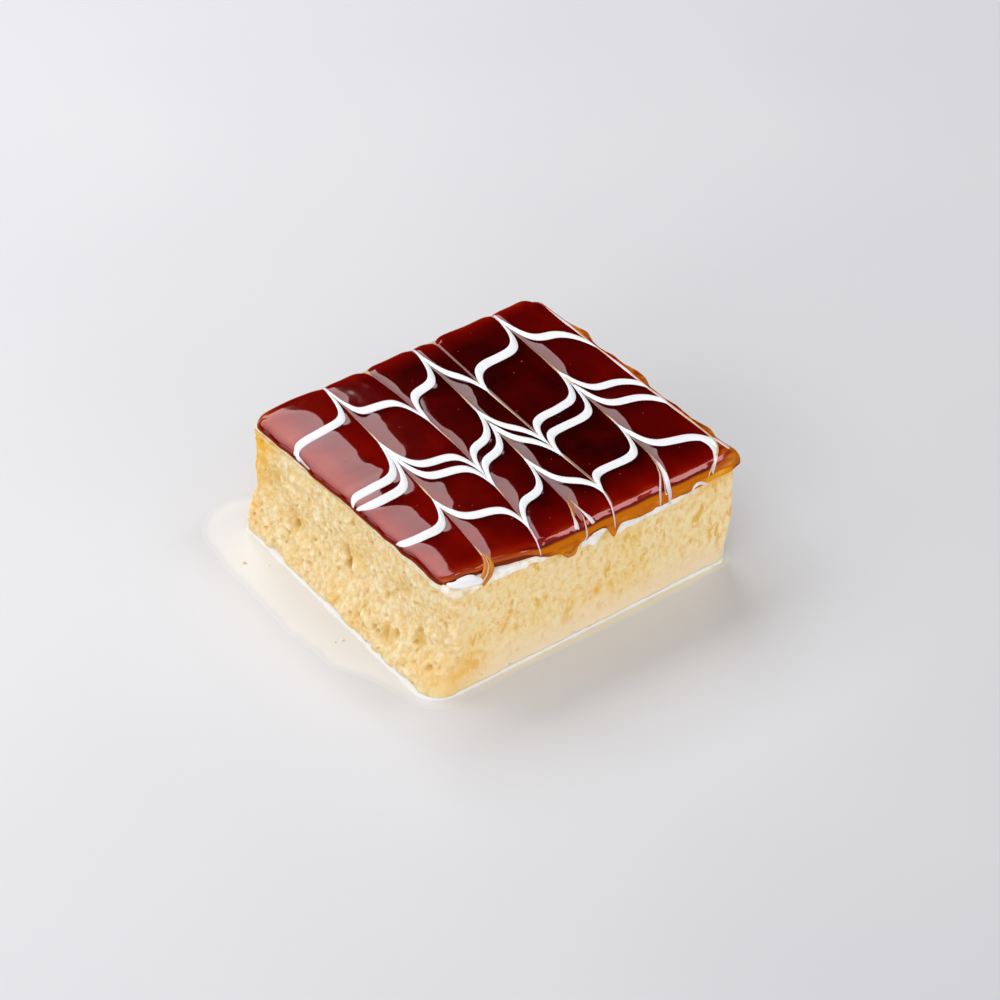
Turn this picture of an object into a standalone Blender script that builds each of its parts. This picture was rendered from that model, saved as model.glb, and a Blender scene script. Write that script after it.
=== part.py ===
"""A square slice of tres leches cake: soaked sponge, a thin coat of whipped cream, a caramel glaze with lines of
white icing combed through it, and the milk that has run out round its foot.

Frame: the origin is on the flat underside, below the middle of the sponge. +X runs along the smoothly cut front
face, +Y points from that face to the back, and +Z is up. The rough, torn side of the sponge faces -X.
"""

import math

import bmesh
import bpy
import numpy as np
from mathutils import Vector, noise

MM = 0.001

# Levels of the layers. Neighbouring layers keep GAP between them.
GAP = 0.3 * MM
POOL_FLOOR = 0.6 * MM
POOL_LEVEL = 0.9 * MM
POOL_MENISCUS = 1.7 * MM
SPONGE_BOTTOM = POOL_FLOOR + GAP
SPONGE_TOP = 34.4 * MM
CREAM_BOTTOM = SPONGE_TOP + GAP
CREAM_TOP = CREAM_BOTTOM + 1.1 * MM
GLAZE_BOTTOM = CREAM_TOP + GAP
GLAZE_TOP = GLAZE_BOTTOM + 2.0 * MM

# The sponge in plan, as corners from the front left one round to the back left, with the radius of each.
SPONGE_TOP_CORNERS = np.array([[-46.5, -45.9], [48.6, -46.5], [48.4, 43.6], [-46.5, 45.6]]) * MM
SPONGE_FOOT_CORNERS = np.array([[-56.0, -47.0], [47.2, -46.4], [48.4, 45.4], [-51.2, 47.2]]) * MM
SPONGE_TOP_RADII = np.array([2.5, 1.5, 5.0, 4.5]) * MM
SPONGE_FOOT_RADII = np.array([8.0, 4.0, 5.0, 3.0]) * MM
SIDE_POINTS = 20
CORNER_POINTS = 4
SPONGE_LEVELS = 12
FLARE_TOP = 18.0 * MM

# Crags of the crumb on the front, right, back and left side, then the torn pits (and, with a minus, lumps) of
# the left side, each as its place along Y, its height, its radius and its depth.
CRAG_DEPTHS = np.array([0.25, 0.8, 0.8, 1.0]) * MM
CRAG_LENGTH = 7.0 * MM
TORN_PITS = np.array(
    [
        [2.0, 14.5, 4.2, 2.0],
        [6.0, 5.5, 5.0, -1.6],
        [-24.0, 24.0, 5.0, 0.9],
        [-12.0, 11.0, 4.5, -1.0],
        [27.0, 14.0, 5.0, 0.9],
        [36.0, 24.0, 5.0, 0.8],
        [-33.0, 12.0, 5.0, 1.0],
    ]
) * MM

# Drags of the comb through the glaze: where each crosses the middle, its lean, its bow at the ends, the hook at
# its front end, and its way, +1 towards the back.
DRAGS = [
    {"x": -28.0 * MM, "lean": 0.098, "bow": -0.9 * MM, "hook": 6.5 * MM, "way": 1},
    {"x": -10.3 * MM, "lean": 0.083, "bow": -3.4 * MM, "hook": 1.0 * MM, "way": -1},
    {"x": 2.7 * MM, "lean": 0.088, "bow": -0.6 * MM, "hook": 2.5 * MM, "way": 1},
    {"x": 10.6 * MM, "lean": 0.040, "bow": 0.8 * MM, "hook": 3.7 * MM, "way": -1},
    {"x": 32.0 * MM, "lean": 0.050, "bow": 0.0 * MM, "hook": 7.0 * MM, "way": 1},
    {"x": 48.2 * MM, "lean": 0.000, "bow": 0.0 * MM, "hook": 8.6 * MM, "way": -1},
]
BOW_SPAN = 45.0 * MM
HOOK_START = -35.0 * MM
HOOK_SPAN = 13.0 * MM
DRAG_PULL = 15.0 * MM
DRAG_REACH = 1.0 * MM
DRAG_SHARPNESS = 0.6
EDGE_PULL = 6.0 * MM
EDGE_REACH = 1.5 * MM

# Lines of icing piped across the glaze before the comb: where each crosses the middle, and its slope.
PIPED_LINES = [(28.2 * MM, -0.035), (-0.7 * MM, -0.030), (-7.0 * MM, -0.063), (-27.8 * MM, -0.100)]
LINE_WIDTH = 3.2 * MM
LINE_HEIGHT = 0.35 * MM
LINE_SUNK = 0.5 * MM
LINE_STEPS = np.array([0.0, 0.3, 0.8, 1.6, 2.8, 4.4, 6.5]) * MM
LINE_SETBACK = 1.2 * MM

# The glaze: its sides in plan, the slopes of its back and front sides, the radius of each corner, and its edge.
GLAZE_LEFT = -48.2 * MM
GLAZE_RIGHT = 50.8 * MM
GLAZE_BACK = 46.1 * MM
GLAZE_BACK_SLOPE = -0.024
GLAZE_FRONT = -48.3 * MM
GLAZE_FRONT_SLOPE = -0.006
GLAZE_RADII = {(-1, -1): 3.0 * MM, (1, -1): 2.0 * MM, (-1, 1): 5.0 * MM, (1, 1): 6.0 * MM}
EDGE_ROWS = np.array([0.0, 0.6, 1.6, 3.4, 6.5]) * MM
MIDDLE_ROWS = 9
BAND_SHARES = (0.0, 0.13, 0.36, 0.64, 0.87)
LEFT_BAND_SHARES = (0.0, 0.03, 0.09, 0.2, 0.4, 0.65, 0.88)
RIGHT_BAND_SHARES = (0.0, 0.4, 1.0)
CREASE_DEPTH = 0.6 * MM
CREASE_REACH = 1.7 * MM
SHOULDER_DROP = 0.8 * MM
SHOULDER_REACH = 3.0 * MM
SCALLOP = 1.1 * MM
SCALLOP_REACH = 3.0 * MM
EDGE_ROUND = 0.5 * MM
SKIRT_THICKNESS = 0.35 * MM
LEAST_SKIRT = 0.4 * MM

# Caramel run down the front: the ends and depth of the sheet, and the place, width and length of each drip. The
# drip of minus length is where the sheet parts and the cream shows.
RUN_ENDS = (-18.0 * MM, 48.5 * MM)
RUN_DEPTH = 1.9 * MM
RUN_DRIPS = np.array(
    [[-39.5, 1.8, 1.6], [-10.5, 2.4, 2.6], [-1.0, 2.0, -1.7], [5.6, 1.6, 3.4], [29.5, 5.5, 2.7], [41.5, 2.4, 1.2]]
) * MM

# Whipped cream wiped down the front by the knife: the ends and depth of the wiped band, and each thicker smear.
CREAM_THICKNESS = 0.5 * MM
SMEAR_THICKNESS = 1.0 * MM
WIPED_ENDS = (5.0 * MM, 39.0 * MM)
WIPED_DEPTH = 3.0 * MM
SMEARS = np.array([[-43.5, 3.5, 1.2], [-27.0, 5.0, 0.8], [-13.0, 6.0, 1.4], [1.2, 3.2, 4.0], [8.0, 2.5, 1.2]]) * MM

# The pool of milk: how far it reaches from the sponge's foot, as a bead and on its wide left side.
POOL_BEAD = 1.7 * MM
POOL_SPREAD = 15.0 * MM
POOL_SLOPE = 1.2 * MM

SPONGE_COLOUR = (0.80, 0.62, 0.29)
CREAM_COLOUR = (0.90, 0.86, 0.78)
GLAZE_COLOUR = (0.13, 0.006, 0.002)
MILK_COLOUR = (0.86, 0.83, 0.75)


def ease(value, low, high):
    """0 below low, 1 above high, and a smooth S between them."""
    share = np.clip((value - low) / (high - low), 0, 1)
    return share * share * (3 - 2 * share)


def bell(value, centre, width):
    """A smooth hump of height 1."""
    return np.exp(-(((value - centre) / width) ** 2))


def unit(vector):
    return vector / np.linalg.norm(vector)


def material(name, colour, roughness, subsurface=0.0, coat=0.0):
    made = bpy.data.materials.new(name)
    made.use_nodes = True
    made.diffuse_color = (*colour, 1)
    made.roughness = roughness
    shader = made.node_tree.nodes["Principled BSDF"]
    shader.inputs["Base Color"].default_value = (*colour, 1)
    shader.inputs["Roughness"].default_value = roughness
    shader.inputs["Metallic"].default_value = 0.0
    shader.inputs["Subsurface Weight"].default_value = subsurface
    shader.inputs["Subsurface Scale"].default_value = 0.003
    shader.inputs["Coat Weight"].default_value = coat
    return made


def finished(name, bm, collection, look, sharp_angle=40):
    """The bmesh as a smooth-shaded object whose edges over sharp_angle degrees stay crisp."""
    bmesh.ops.recalc_face_normals(bm, faces=bm.faces[:])
    mesh = bpy.data.meshes.new(name)
    bm.to_mesh(mesh)
    bm.free()
    mesh.materials.append(look)
    for polygon in mesh.polygons:
        polygon.use_smooth = True
    mesh.set_sharp_from_angle(angle=math.radians(sharp_angle))
    obj = bpy.data.objects.new(name, mesh)
    collection.objects.link(obj)
    return obj


def bridge(bm, low, high):
    """Faces between two closed rings of as many vertices."""
    for i in range(len(low)):
        j = (i + 1) % len(low)
        bm.faces.new((low[i], low[j], high[j], high[i]))


def loft(rings):
    """A closed body through rings of as many points each, with a flat face on its first and last ring."""
    bm = bmesh.new()
    loops = [[bm.verts.new(point) for point in ring] for ring in rings]
    for low, high in zip(loops, loops[1:]):
        bridge(bm, low, high)
    bm.faces.new(loops[0][::-1])
    bm.faces.new(loops[-1])
    return bm


def at_height(plan, z):
    """Points in plan, raised to one height or to one each."""
    return np.column_stack([plan, np.broadcast_to(z, len(plan))])


def rounded_outline(corners, radii):
    """Points and outward normals round four corners with arcs, anticlockwise from the front left corner."""
    points, normals = [], []
    for i in range(4):
        before, corner, after, beyond = (corners[(i + step) % 4] for step in (-1, 0, 1, 2))
        come, leave, turn = unit(corner - before), unit(after - corner), unit(beyond - after)
        out_before, out_after, out_next = (np.array([way[1], -way[0]]) for way in (come, leave, turn))
        centre = corner - radii[i] * (out_before + out_after)
        for k in range(CORNER_POINTS + 1):
            normal = unit(out_before + (out_after - out_before) * k / CORNER_POINTS)
            points.append(centre + radii[i] * normal)
            normals.append(normal)
        start = centre + radii[i] * out_after
        end = after - radii[(i + 1) % 4] * out_next
        for k in range(SIDE_POINTS):
            points.append(start + (end - start) * (k + 1) / (SIDE_POINTS + 1))
            normals.append(out_after)
    return np.array(points), np.array(normals)


TOP_OUTLINE, OUTWARD = rounded_outline(SPONGE_TOP_CORNERS, SPONGE_TOP_RADII)
FOOT_OUTLINE = rounded_outline(SPONGE_FOOT_CORNERS, SPONGE_FOOT_RADII)[0]
FACING = np.maximum(0, np.column_stack([-OUTWARD[:, 1], OUTWARD[:, 0], OUTWARD[:, 1], -OUTWARD[:, 0]])) ** 2
FRONT, RIGHT, BACK, LEFT = FACING.T


def crags(plan, z):
    """How far the crumb stands out of the cut at each point of the outline: soft noise, torn pits and lumps."""
    bumps = np.array([noise.fractal(Vector((x, y, z)) / CRAG_LENGTH, 0.9, 2.0, 2) for x, y in plan])
    relief = bumps * (FACING @ CRAG_DEPTHS)
    for along, height, radius, depth in TORN_PITS:
        relief = relief - LEFT * depth * bell(plan[:, 1], along, radius) * bell(z, height, radius)
    return relief * (1 - 0.8 * ease(z, SPONGE_TOP - 3 * MM, SPONGE_TOP))


def sponge_outline(z):
    """The sponge in plan at one height: it flares out at the foot, most on the left side."""
    flare = 1 - ease(z, -2 * MM, FLARE_TOP)
    plan = TOP_OUTLINE + (FOOT_OUTLINE - TOP_OUTLINE) * flare
    return plan + OUTWARD * crags(plan, z)[:, None]


def make_sponge(collection):
    heights = np.linspace(SPONGE_BOTTOM, SPONGE_TOP, SPONGE_LEVELS)
    bm = loft([at_height(sponge_outline(z), z) for z in heights])
    finished("sponge", bm, collection, material("sponge", SPONGE_COLOUR, 0.85, subsurface=0.15))


def run_depth(x):
    """How far the caramel has run down the front at each place along it, with its drips."""
    start, end = RUN_ENDS
    depth = RUN_DEPTH * ease(x, start, start + 6 * MM) * (1 - ease(x, end - 3 * MM, end))
    for place, width, length in RUN_DRIPS:
        depth = depth + length * bell(x, place, width)
    return depth


def cream_depth():
    """How far the cream hangs over the sponge's edge: wiped down the front, thin elsewhere, more to the front left."""
    x, y = TOP_OUTLINE.T
    start, end = WIPED_ENDS
    front = 0.5 * MM + WIPED_DEPTH * ease(x, start, start + 5 * MM) * (1 - ease(x, end - 6 * MM, end))
    for place, width, depth in SMEARS:
        front = front + depth * bell(x, place, width)
    left = 1.4 * MM * ease(-y, -10 * MM, 40 * MM)
    return LEAST_SKIRT + FRONT * front + LEFT * left


def make_cream_layer(collection):
    """A slab on the sponge whose edge hangs down over it as a thin skirt, thickest where it is deepest."""
    depth = cream_depth()
    thickness = CREAM_THICKNESS + FRONT * (SMEAR_THICKNESS - CREAM_THICKNESS)
    under = CREAM_BOTTOM - depth
    hanging = np.array([sponge_outline(z)[i] for i, z in enumerate(under)]) + OUTWARD * GAP * 1.2
    rings = [
        at_height(TOP_OUTLINE - OUTWARD * MM, CREAM_BOTTOM),
        at_height(TOP_OUTLINE + OUTWARD * GAP * 1.2, CREAM_BOTTOM),
        at_height(hanging, under),
        at_height(hanging + OUTWARD * (thickness * 0.8)[:, None], under + 0.25 * MM),
        at_height(TOP_OUTLINE + OUTWARD * (GAP + thickness)[:, None], CREAM_BOTTOM + 0.1 * MM),
        at_height(TOP_OUTLINE + OUTWARD * (GAP + thickness * 0.8)[:, None], CREAM_TOP - 0.3 * MM),
        at_height(TOP_OUTLINE - OUTWARD * MM, CREAM_TOP),
    ]
    finished("cream_layer", loft(rings), collection, material("cream", CREAM_COLOUR, 0.5, subsurface=0.1))


def drag_shift(drag, y):
    """How far a drag stands sideways from where it crosses the middle, at each y."""
    hook = drag["hook"] * (np.maximum(HOOK_START - y, 0) / HOOK_SPAN) ** 1.5
    return drag["lean"] * y + drag["bow"] * (y / BOW_SPAN) ** 2 - hook


def leaned(x, y):
    """The x at y of a point whose x is named where it crosses the middle: it leans as the drags beside it do."""
    places = [GLAZE_LEFT] + [drag["x"] for drag in DRAGS] + [GLAZE_RIGHT]
    shifts = [0] + [drag_shift(drag, y) for drag in DRAGS] + [0]
    return x + np.interp(x, places, shifts)


def line_pull(x):
    """How far the comb has pulled a line towards the back at each x: a cusp on each drag."""
    pull = -EDGE_PULL * np.exp(-(x - GLAZE_LEFT) / EDGE_REACH)
    for drag in DRAGS:
        away = np.abs(x - drag["x"])
        pull = pull + drag["way"] * DRAG_PULL * np.exp(-((away / DRAG_REACH) ** DRAG_SHARPNESS))
    return pull


def glaze_sides(x):
    """(front, back) of the glaze at x. The back is scalloped: it dips in at each drag that pulls away from it."""
    back = GLAZE_BACK + GLAZE_BACK_SLOPE * x
    for drag in DRAGS:
        depth = SCALLOP if drag["way"] < 0 else SCALLOP * 0.5
        back = back - depth * bell(x, drag["x"] + drag_shift(drag, GLAZE_BACK), SCALLOP_REACH)
    return GLAZE_FRONT + GLAZE_FRONT_SLOPE * x, back


def glaze_height(x, y):
    """The glaze's top at a named x and a y: strips between the drags bulge, and the edge rolls over."""
    front, back = glaze_sides(leaned(x, y))
    inside = min(x - GLAZE_LEFT, GLAZE_RIGHT - x, y - front, back - y)
    crease = sum(CREASE_DEPTH * np.exp(-abs(x - drag["x"]) / CREASE_REACH) for drag in DRAGS)
    return GLAZE_TOP - crease - SHOULDER_DROP * max(0, 1 - inside / SHOULDER_REACH) ** 2


def round_corner(x, y):
    """The place of a point in plan once the glaze's corners are rounded: it moves in along its ray."""
    for (side, end), radius in GLAZE_RADII.items():
        corner_x = GLAZE_RIGHT if side > 0 else GLAZE_LEFT
        corner_y = glaze_sides(corner_x)[0 if end < 0 else 1]
        out_x = side * (x - corner_x) + radius
        out_y = end * (y - corner_y) + radius
        if out_x > 0 and out_y > 0:
            shrink = max(out_x, out_y) / math.hypot(out_x, out_y) - 1
            return x + side * out_x * shrink, y + end * out_y * shrink
    return x, y


def glaze_columns():
    """Named x of each column of the glaze's mesh, with one on every drag."""
    edges = [GLAZE_LEFT] + [drag["x"] for drag in DRAGS] + [GLAZE_RIGHT]
    shares = [LEFT_BAND_SHARES] + [BAND_SHARES] * (len(DRAGS) - 1) + [RIGHT_BAND_SHARES]
    return [low + (high - low) * share for low, high, band in zip(edges, edges[1:], shares) for share in band]


def glaze_grid():
    """Points of the glaze's top, as rows from front to back of columns from left to right."""
    rows = []
    for column in glaze_columns():
        front = glaze_sides(leaned(column, GLAZE_FRONT))[0]
        back = glaze_sides(leaned(column, GLAZE_BACK))[1]
        middle = np.linspace(front + EDGE_ROWS[-1], back - EDGE_ROWS[-1], MIDDLE_ROWS + 2)[1:-1]
        line = []
        for y in [*(front + EDGE_ROWS), *middle, *(back - EDGE_ROWS[::-1])]:
            line.append((*round_corner(leaned(column, y), y), glaze_height(column, y)))
        rows.append(line)
    return np.array(rows).transpose(1, 0, 2)


def border(grid):
    """A grid's outer vertices or points, anticlockwise from its first."""
    front = [grid[0][i] for i in range(len(grid[0]) - 1)]
    right = [grid[j][-1] for j in range(len(grid) - 1)]
    back = [grid[-1][i] for i in range(len(grid[0]) - 1, 0, -1)]
    left = [grid[j][0] for j in range(len(grid) - 1, 0, -1)]
    return front + right + back + left


def make_glaze_body():
    """The glaze's top as a grid, an edge that rolls over and hangs down as a skirt, and its flat underside."""
    bm = bmesh.new()
    points = glaze_grid()
    grid = [[bm.verts.new(point) for point in row] for row in points]
    for low, high in zip(grid, grid[1:]):
        for i in range(len(low) - 1):
            bm.faces.new((low[i], low[i + 1], high[i + 1], high[i]))
    rim = np.array(border(points))
    along = np.roll(rim, -1, axis=0)[:, :2] - np.roll(rim, 1, axis=0)[:, :2]
    out = np.column_stack([along[:, 1], -along[:, 0]])
    out /= np.linalg.norm(out, axis=1)[:, None]
    front = np.maximum(0, -out[:, 1]) ** 4
    depth = LEAST_SKIRT + front * run_depth(rim[:, 0])
    rings = [
        at_height(rim[:, :2] + out * EDGE_ROUND, rim[:, 2] - EDGE_ROUND),
        at_height(rim[:, :2] + out * EDGE_ROUND * 0.8, GLAZE_BOTTOM - depth + 0.15 * MM),
        at_height(rim[:, :2] - out * SKIRT_THICKNESS * 0.8, GLAZE_BOTTOM - depth),
        at_height(rim[:, :2] - out * SKIRT_THICKNESS, GLAZE_BOTTOM),
    ]
    above = border(grid)
    for ring in rings:
        below = [bm.verts.new(point) for point in ring]
        bridge(bm, below, above)
        above = below
    bm.faces.new(above[::-1])
    return bm


def line_stations():
    """Named x of each station along a piped line: close together at every drag, where it turns in a cusp."""
    places = [drag["x"] for drag in DRAGS]
    first, last = GLAZE_LEFT + LINE_SETBACK, places[-1] - LINE_SETBACK / 2
    stations = {first, last} | {first + step for step in (2 * MM, 5 * MM, 9 * MM)}
    for low, high in zip([GLAZE_LEFT - 40 * MM, *places], [*places, GLAZE_RIGHT + 40 * MM]):
        steps = [step for step in LINE_STEPS if step < (high - low) / 2 - 0.6 * MM]
        stations |= {low + step for step in steps} | {high - step for step in steps} | {(low + high) / 2}
    return sorted(station for station in stations if first <= station <= last)


def make_icing_line(number, middle, slope, collection, look):
    """One piped line as a flat ribbon with rounded shoulders, partly sunk in the glaze."""
    half = LINE_WIDTH / 2
    profile = [(-1, -LINE_SUNK), (1, -LINE_SUNK), (1, 0.05 * MM), (0.6, LINE_HEIGHT), (-0.6, LINE_HEIGHT), (-1, 0.05 * MM)]
    rings = []
    for x in line_stations():
        y = middle + slope * x + line_pull(x)
        across = [(leaned(x, y + side * half), y + side * half) for side, _ in profile]
        rings.append([(px, py, glaze_height(x, py) + rise) for (px, py), (_, rise) in zip(across, profile)])
    return finished(f"icing_line_{number}", loft(rings), collection, look)


def make_glaze(collection):
    """The glaze with the icing lines fused to it."""
    look = material("caramel_glaze", GLAZE_COLOUR, 0.12, coat=0.6)
    lines = bpy.data.collections.new("icing_lines")
    bpy.context.scene.collection.children.link(lines)
    for number, (middle, slope) in enumerate(PIPED_LINES):
        make_icing_line(number, middle, slope, lines, look)
    glaze = finished("glaze", make_glaze_body(), collection, look)
    union = glaze.modifiers.new("icing", "BOOLEAN")
    union.operation = "UNION"
    union.operand_type = "COLLECTION"
    union.collection = lines
    union.solver = "MANIFOLD"
    bpy.context.view_layer.update()
    fused = bpy.data.meshes.new_from_object(glaze.evaluated_get(bpy.context.evaluated_depsgraph_get()))
    glaze.modifiers.clear()
    glaze.data = fused
    fused.name = "glaze"
    fused.set_sharp_from_angle(angle=math.radians(40))
    for line in list(lines.objects):
        bpy.data.objects.remove(line)
    bpy.data.collections.remove(lines)


def pool_reach():
    """How far the milk reaches from the foot: wide on the left, a bead along the front, right and back."""
    x, y = TOP_OUTLINE.T
    wander = 1 + 0.08 * np.sin(y / (7 * MM)) + 0.05 * np.sin(y / (3.1 * MM))
    left = LEFT * ease(y, -52 * MM, -8 * MM) * wander
    back = BACK * (1 - ease(x, -52 * MM, -22 * MM))
    front = FRONT * 0.15 * (1 - ease(x, -50 * MM, -36 * MM))
    return POOL_BEAD + (POOL_SPREAD - POOL_BEAD) * (left + back + front)


def make_milk_pool(collection):
    """A thin puddle under the sponge, with a raised bead where the milk climbs its foot."""
    foot = sponge_outline(POOL_MENISCUS) + OUTWARD * GAP * 1.2
    under = np.where(FACING.max(axis=1)[:, None] > 0, sponge_outline(SPONGE_BOTTOM) + OUTWARD * GAP * 1.2, 0)
    reach = pool_reach()[:, None]
    rings = [
        at_height(foot + OUTWARD * (reach - 0.3 * MM), 0),
        at_height(foot + OUTWARD * reach, 0.25 * MM),
        at_height(foot + OUTWARD * (reach - np.minimum(0.8 * MM, 0.3 * reach)), POOL_LEVEL),
        at_height(foot + OUTWARD * np.minimum(POOL_SLOPE, 0.6 * reach), POOL_LEVEL + 0.1 * MM),
        at_height(foot + OUTWARD * 0.15 * MM, POOL_MENISCUS),
        at_height(under, POOL_FLOOR),
    ]
    finished("milk_pool", loft(rings), collection, material("milk", MILK_COLOUR, 0.15))


def main():
    for obj in list(bpy.data.objects):
        bpy.data.objects.remove(obj)
    collection = bpy.data.collections.new("tres_leches_cake")
    bpy.context.scene.collection.children.link(collection)
    make_milk_pool(collection)
    make_sponge(collection)
    make_cream_layer(collection)
    make_glaze(collection)


main()
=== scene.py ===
"""A square slice of tres leches cake, dressed for its picture: milk-soaked sponge, whipped cream, a caramel
glaze with white icing combed through it, and the milk round its foot.

Shapes are worked out in millimetres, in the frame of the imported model, and go into their meshes in metres.
"""
import math

import bmesh
import bpy
import numpy as np
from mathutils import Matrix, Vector


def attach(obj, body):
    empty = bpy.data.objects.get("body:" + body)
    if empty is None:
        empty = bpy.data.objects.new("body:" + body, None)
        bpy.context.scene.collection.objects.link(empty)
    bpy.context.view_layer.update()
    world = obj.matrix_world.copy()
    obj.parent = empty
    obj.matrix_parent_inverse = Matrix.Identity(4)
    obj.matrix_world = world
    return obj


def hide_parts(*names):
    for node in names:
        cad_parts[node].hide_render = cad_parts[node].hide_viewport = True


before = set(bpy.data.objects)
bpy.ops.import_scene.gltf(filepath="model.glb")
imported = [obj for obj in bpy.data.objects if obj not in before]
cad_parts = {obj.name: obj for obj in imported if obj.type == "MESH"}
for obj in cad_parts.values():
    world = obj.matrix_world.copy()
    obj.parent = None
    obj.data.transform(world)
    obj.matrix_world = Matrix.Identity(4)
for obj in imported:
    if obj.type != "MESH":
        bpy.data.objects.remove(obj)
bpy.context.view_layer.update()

# ------------------------------------------------------------------------------------------------------------
# Studio. A pale table top. The glaze mirrors a large softbox behind the cake and small ones overhead and at
# the left; two fills light the cut sides; the room is bright on the viewer's side and dark behind.
# ------------------------------------------------------------------------------------------------------------
LIT_PLACE = (0, 0, 0.02)
TABLE_HALF, TABLE_Z = 3.0, -0.00001

scene = bpy.context.scene
scene.view_settings.view_transform = "Standard"

lens = bpy.data.cameras.new("camera")
lens.sensor_width = 36.0
lens.lens = 162.43
lens.clip_start = 0.05
camera = bpy.data.objects.new("camera", lens)
camera.location = (-0.592476, -0.787777, 0.809695)
camera.rotation_euler = (math.radians(51.117), 0.0, math.radians(-37.107))
scene.collection.objects.link(camera)
scene.camera = camera


def soft_light(name, place, width, height, power):
    """A rectangular area light at a place, facing the cake, in metres and watts."""
    data = bpy.data.lights.new(name, "AREA")
    data.shape = "RECTANGLE"
    data.size, data.size_y, data.energy = width, height, power
    light = bpy.data.objects.new(name, data)
    light.location = place
    light.rotation_euler = (Vector(LIT_PLACE) - Vector(place)).to_track_quat("-Z", "Y").to_euler()
    scene.collection.objects.link(light)


soft_light("softbox_back_left", (-0.05, 0.80, 0.90), 1.25, 0.70, 10.6)
soft_light("softbox_overhead", (0.56, -0.20, 1.04), 0.26, 0.26, 1.7)
soft_light("softbox_left", (-0.98, 0.45, 0.62), 0.7, 0.6, 3.1)
soft_light("fill_front_left", (-1.1, -0.5, 0.55), 0.9, 0.7, 3.6)
soft_light("fill_front_low", (0.15, -1.4, 0.24), 1.0, 0.4, 4.4)


def with_alpha(colour):
    """A linear colour as four numbers; one number alone is a grey."""
    return (*(colour if isinstance(colour, tuple) else (colour,) * 3), 1.0)


class Nodes:
    """A node tree, with the kinds of node that the room and the finishes are made of."""

    def __init__(self, tree):
        """Works on this tree."""
        self.tree = tree

    def feed(self, source, socket):
        """Links a socket to another, or sets it to a number, a vector or a linear colour."""
        if isinstance(source, bpy.types.NodeSocket):
            self.tree.links.new(source, socket)
        else:
            socket.default_value = with_alpha(source) if socket.type == "RGBA" else source

    def add(self, kind, *sources, **settings):
        """A node, with its first inputs fed in order, and other inputs or its own properties set by name."""
        made = self.tree.nodes.new(kind)
        for key, value in settings.items():
            if key in made.inputs:
                made.inputs[key].default_value = value
            else:
                setattr(made, key, value)
        for source, socket in zip(sources, made.inputs):
            self.feed(source, socket)
        return made

    def ramp(self, source, *stops):
        """A colour ramp with (place, colour) stops."""
        made = self.add("ShaderNodeValToRGB", source)
        elements = made.color_ramp.elements
        while len(elements) < len(stops):
            elements.new(0.5)
        for element, (place, colour) in zip(elements, stops):
            element.position = place
            element.color = with_alpha(colour)
        return made.outputs["Color"]

    def mix(self, share, first, second):
        """Two colours mixed by a socket."""
        made = self.add("ShaderNodeMix", share, data_type="RGBA")
        self.feed(first, made.inputs[6])
        self.feed(second, made.inputs[7])
        return made.outputs[2]

    def math(self, operation, *sources):
        """The result of a sum, each source a socket or a number."""
        return self.add("ShaderNodeMath", *sources, operation=operation).outputs[0]

    def mark(self, name):
        """The numbers that a piece keeps at its points under this name."""
        return self.add("ShaderNodeAttribute", attribute_name=name).outputs["Fac"]

    def noise(self, scale, detail=4.0, stretch=(1, 1, 1), roughness=0.5):
        """Noise on the object's own coordinates: features per metre, and longer where stretch is small."""
        place = self.add("ShaderNodeTexCoord").outputs["Object"]
        mapped = self.add("ShaderNodeMapping", place, Scale=stretch).outputs["Vector"]
        made = self.add("ShaderNodeTexNoise", mapped, Scale=scale, Detail=detail, Roughness=roughness)
        return made.outputs["Fac"]


class Finish(Nodes):
    """A material's nodes, with the sockets of its Principled shader that are the same all over set."""

    def __init__(self, name, **sockets):
        """Starts a material of this name; an underscore stands for a space in a socket's name."""
        self.material = bpy.data.materials.new(name)
        self.material.use_nodes = True
        super().__init__(self.material.node_tree)
        self.shader = self.tree.nodes["Principled BSDF"]
        for key, value in sockets.items():
            self.shader.inputs[key.replace("_", " ")].default_value = value

    def paint(self, colour):
        """Gives the surface its colour: a socket, or one linear colour."""
        self.feed(colour, self.shader.inputs["Base Color"])

    def bump(self, height, distance, strength):
        """Relief of this many metres from a height socket."""
        made = self.add("ShaderNodeBump", Distance=distance, Strength=strength)
        self.feed(height, made.inputs["Height"])
        self.feed(made.outputs["Normal"], self.shader.inputs["Normal"])


# The room's tone by how far a direction points towards the viewer, from 0 behind the cake to 1.
room = bpy.data.worlds.new("room")
scene.world = room
room.use_nodes = True
walls = Nodes(room.node_tree)
towards_viewer = walls.add("ShaderNodeVectorMath", walls.add("ShaderNodeTexCoord").outputs["Generated"],
                           (-0.35, -0.80, 0.48), operation="DOT_PRODUCT").outputs["Value"]
brightness = walls.add("ShaderNodeMapRange", towards_viewer, -1.0).outputs["Result"]
background = room.node_tree.nodes["Background"]
room_tones = walls.ramp(brightness, (0.0, 0.004), (0.40, 0.006), (0.50, 0.05), (0.70, (0.66, 0.66, 0.68)),
                        (1.0, 1.0))
walls.feed(room_tones, background.inputs["Color"])
walls.feed(0.68, background.inputs["Strength"])

table_mesh = bpy.data.meshes.new("table")
table_corners = [(TABLE_HALF * x, TABLE_HALF * y, TABLE_Z) for x, y in ((-1, -1), (1, -1), (1, 1), (-1, 1))]
table_mesh.from_pydata(table_corners, [], [(0, 1, 2, 3)])
table = bpy.data.objects.new("table", table_mesh)
scene.collection.objects.link(table)
table_white = Finish("table_white", Roughness=0.45)
table_shade = table_white.noise(6.0, 2.0)
table_white.paint(table_white.ramp(table_shade, (0.3, (0.66, 0.66, 0.685)), (0.7, (0.69, 0.69, 0.71))))
table_mesh.materials.append(table_white.material)

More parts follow.
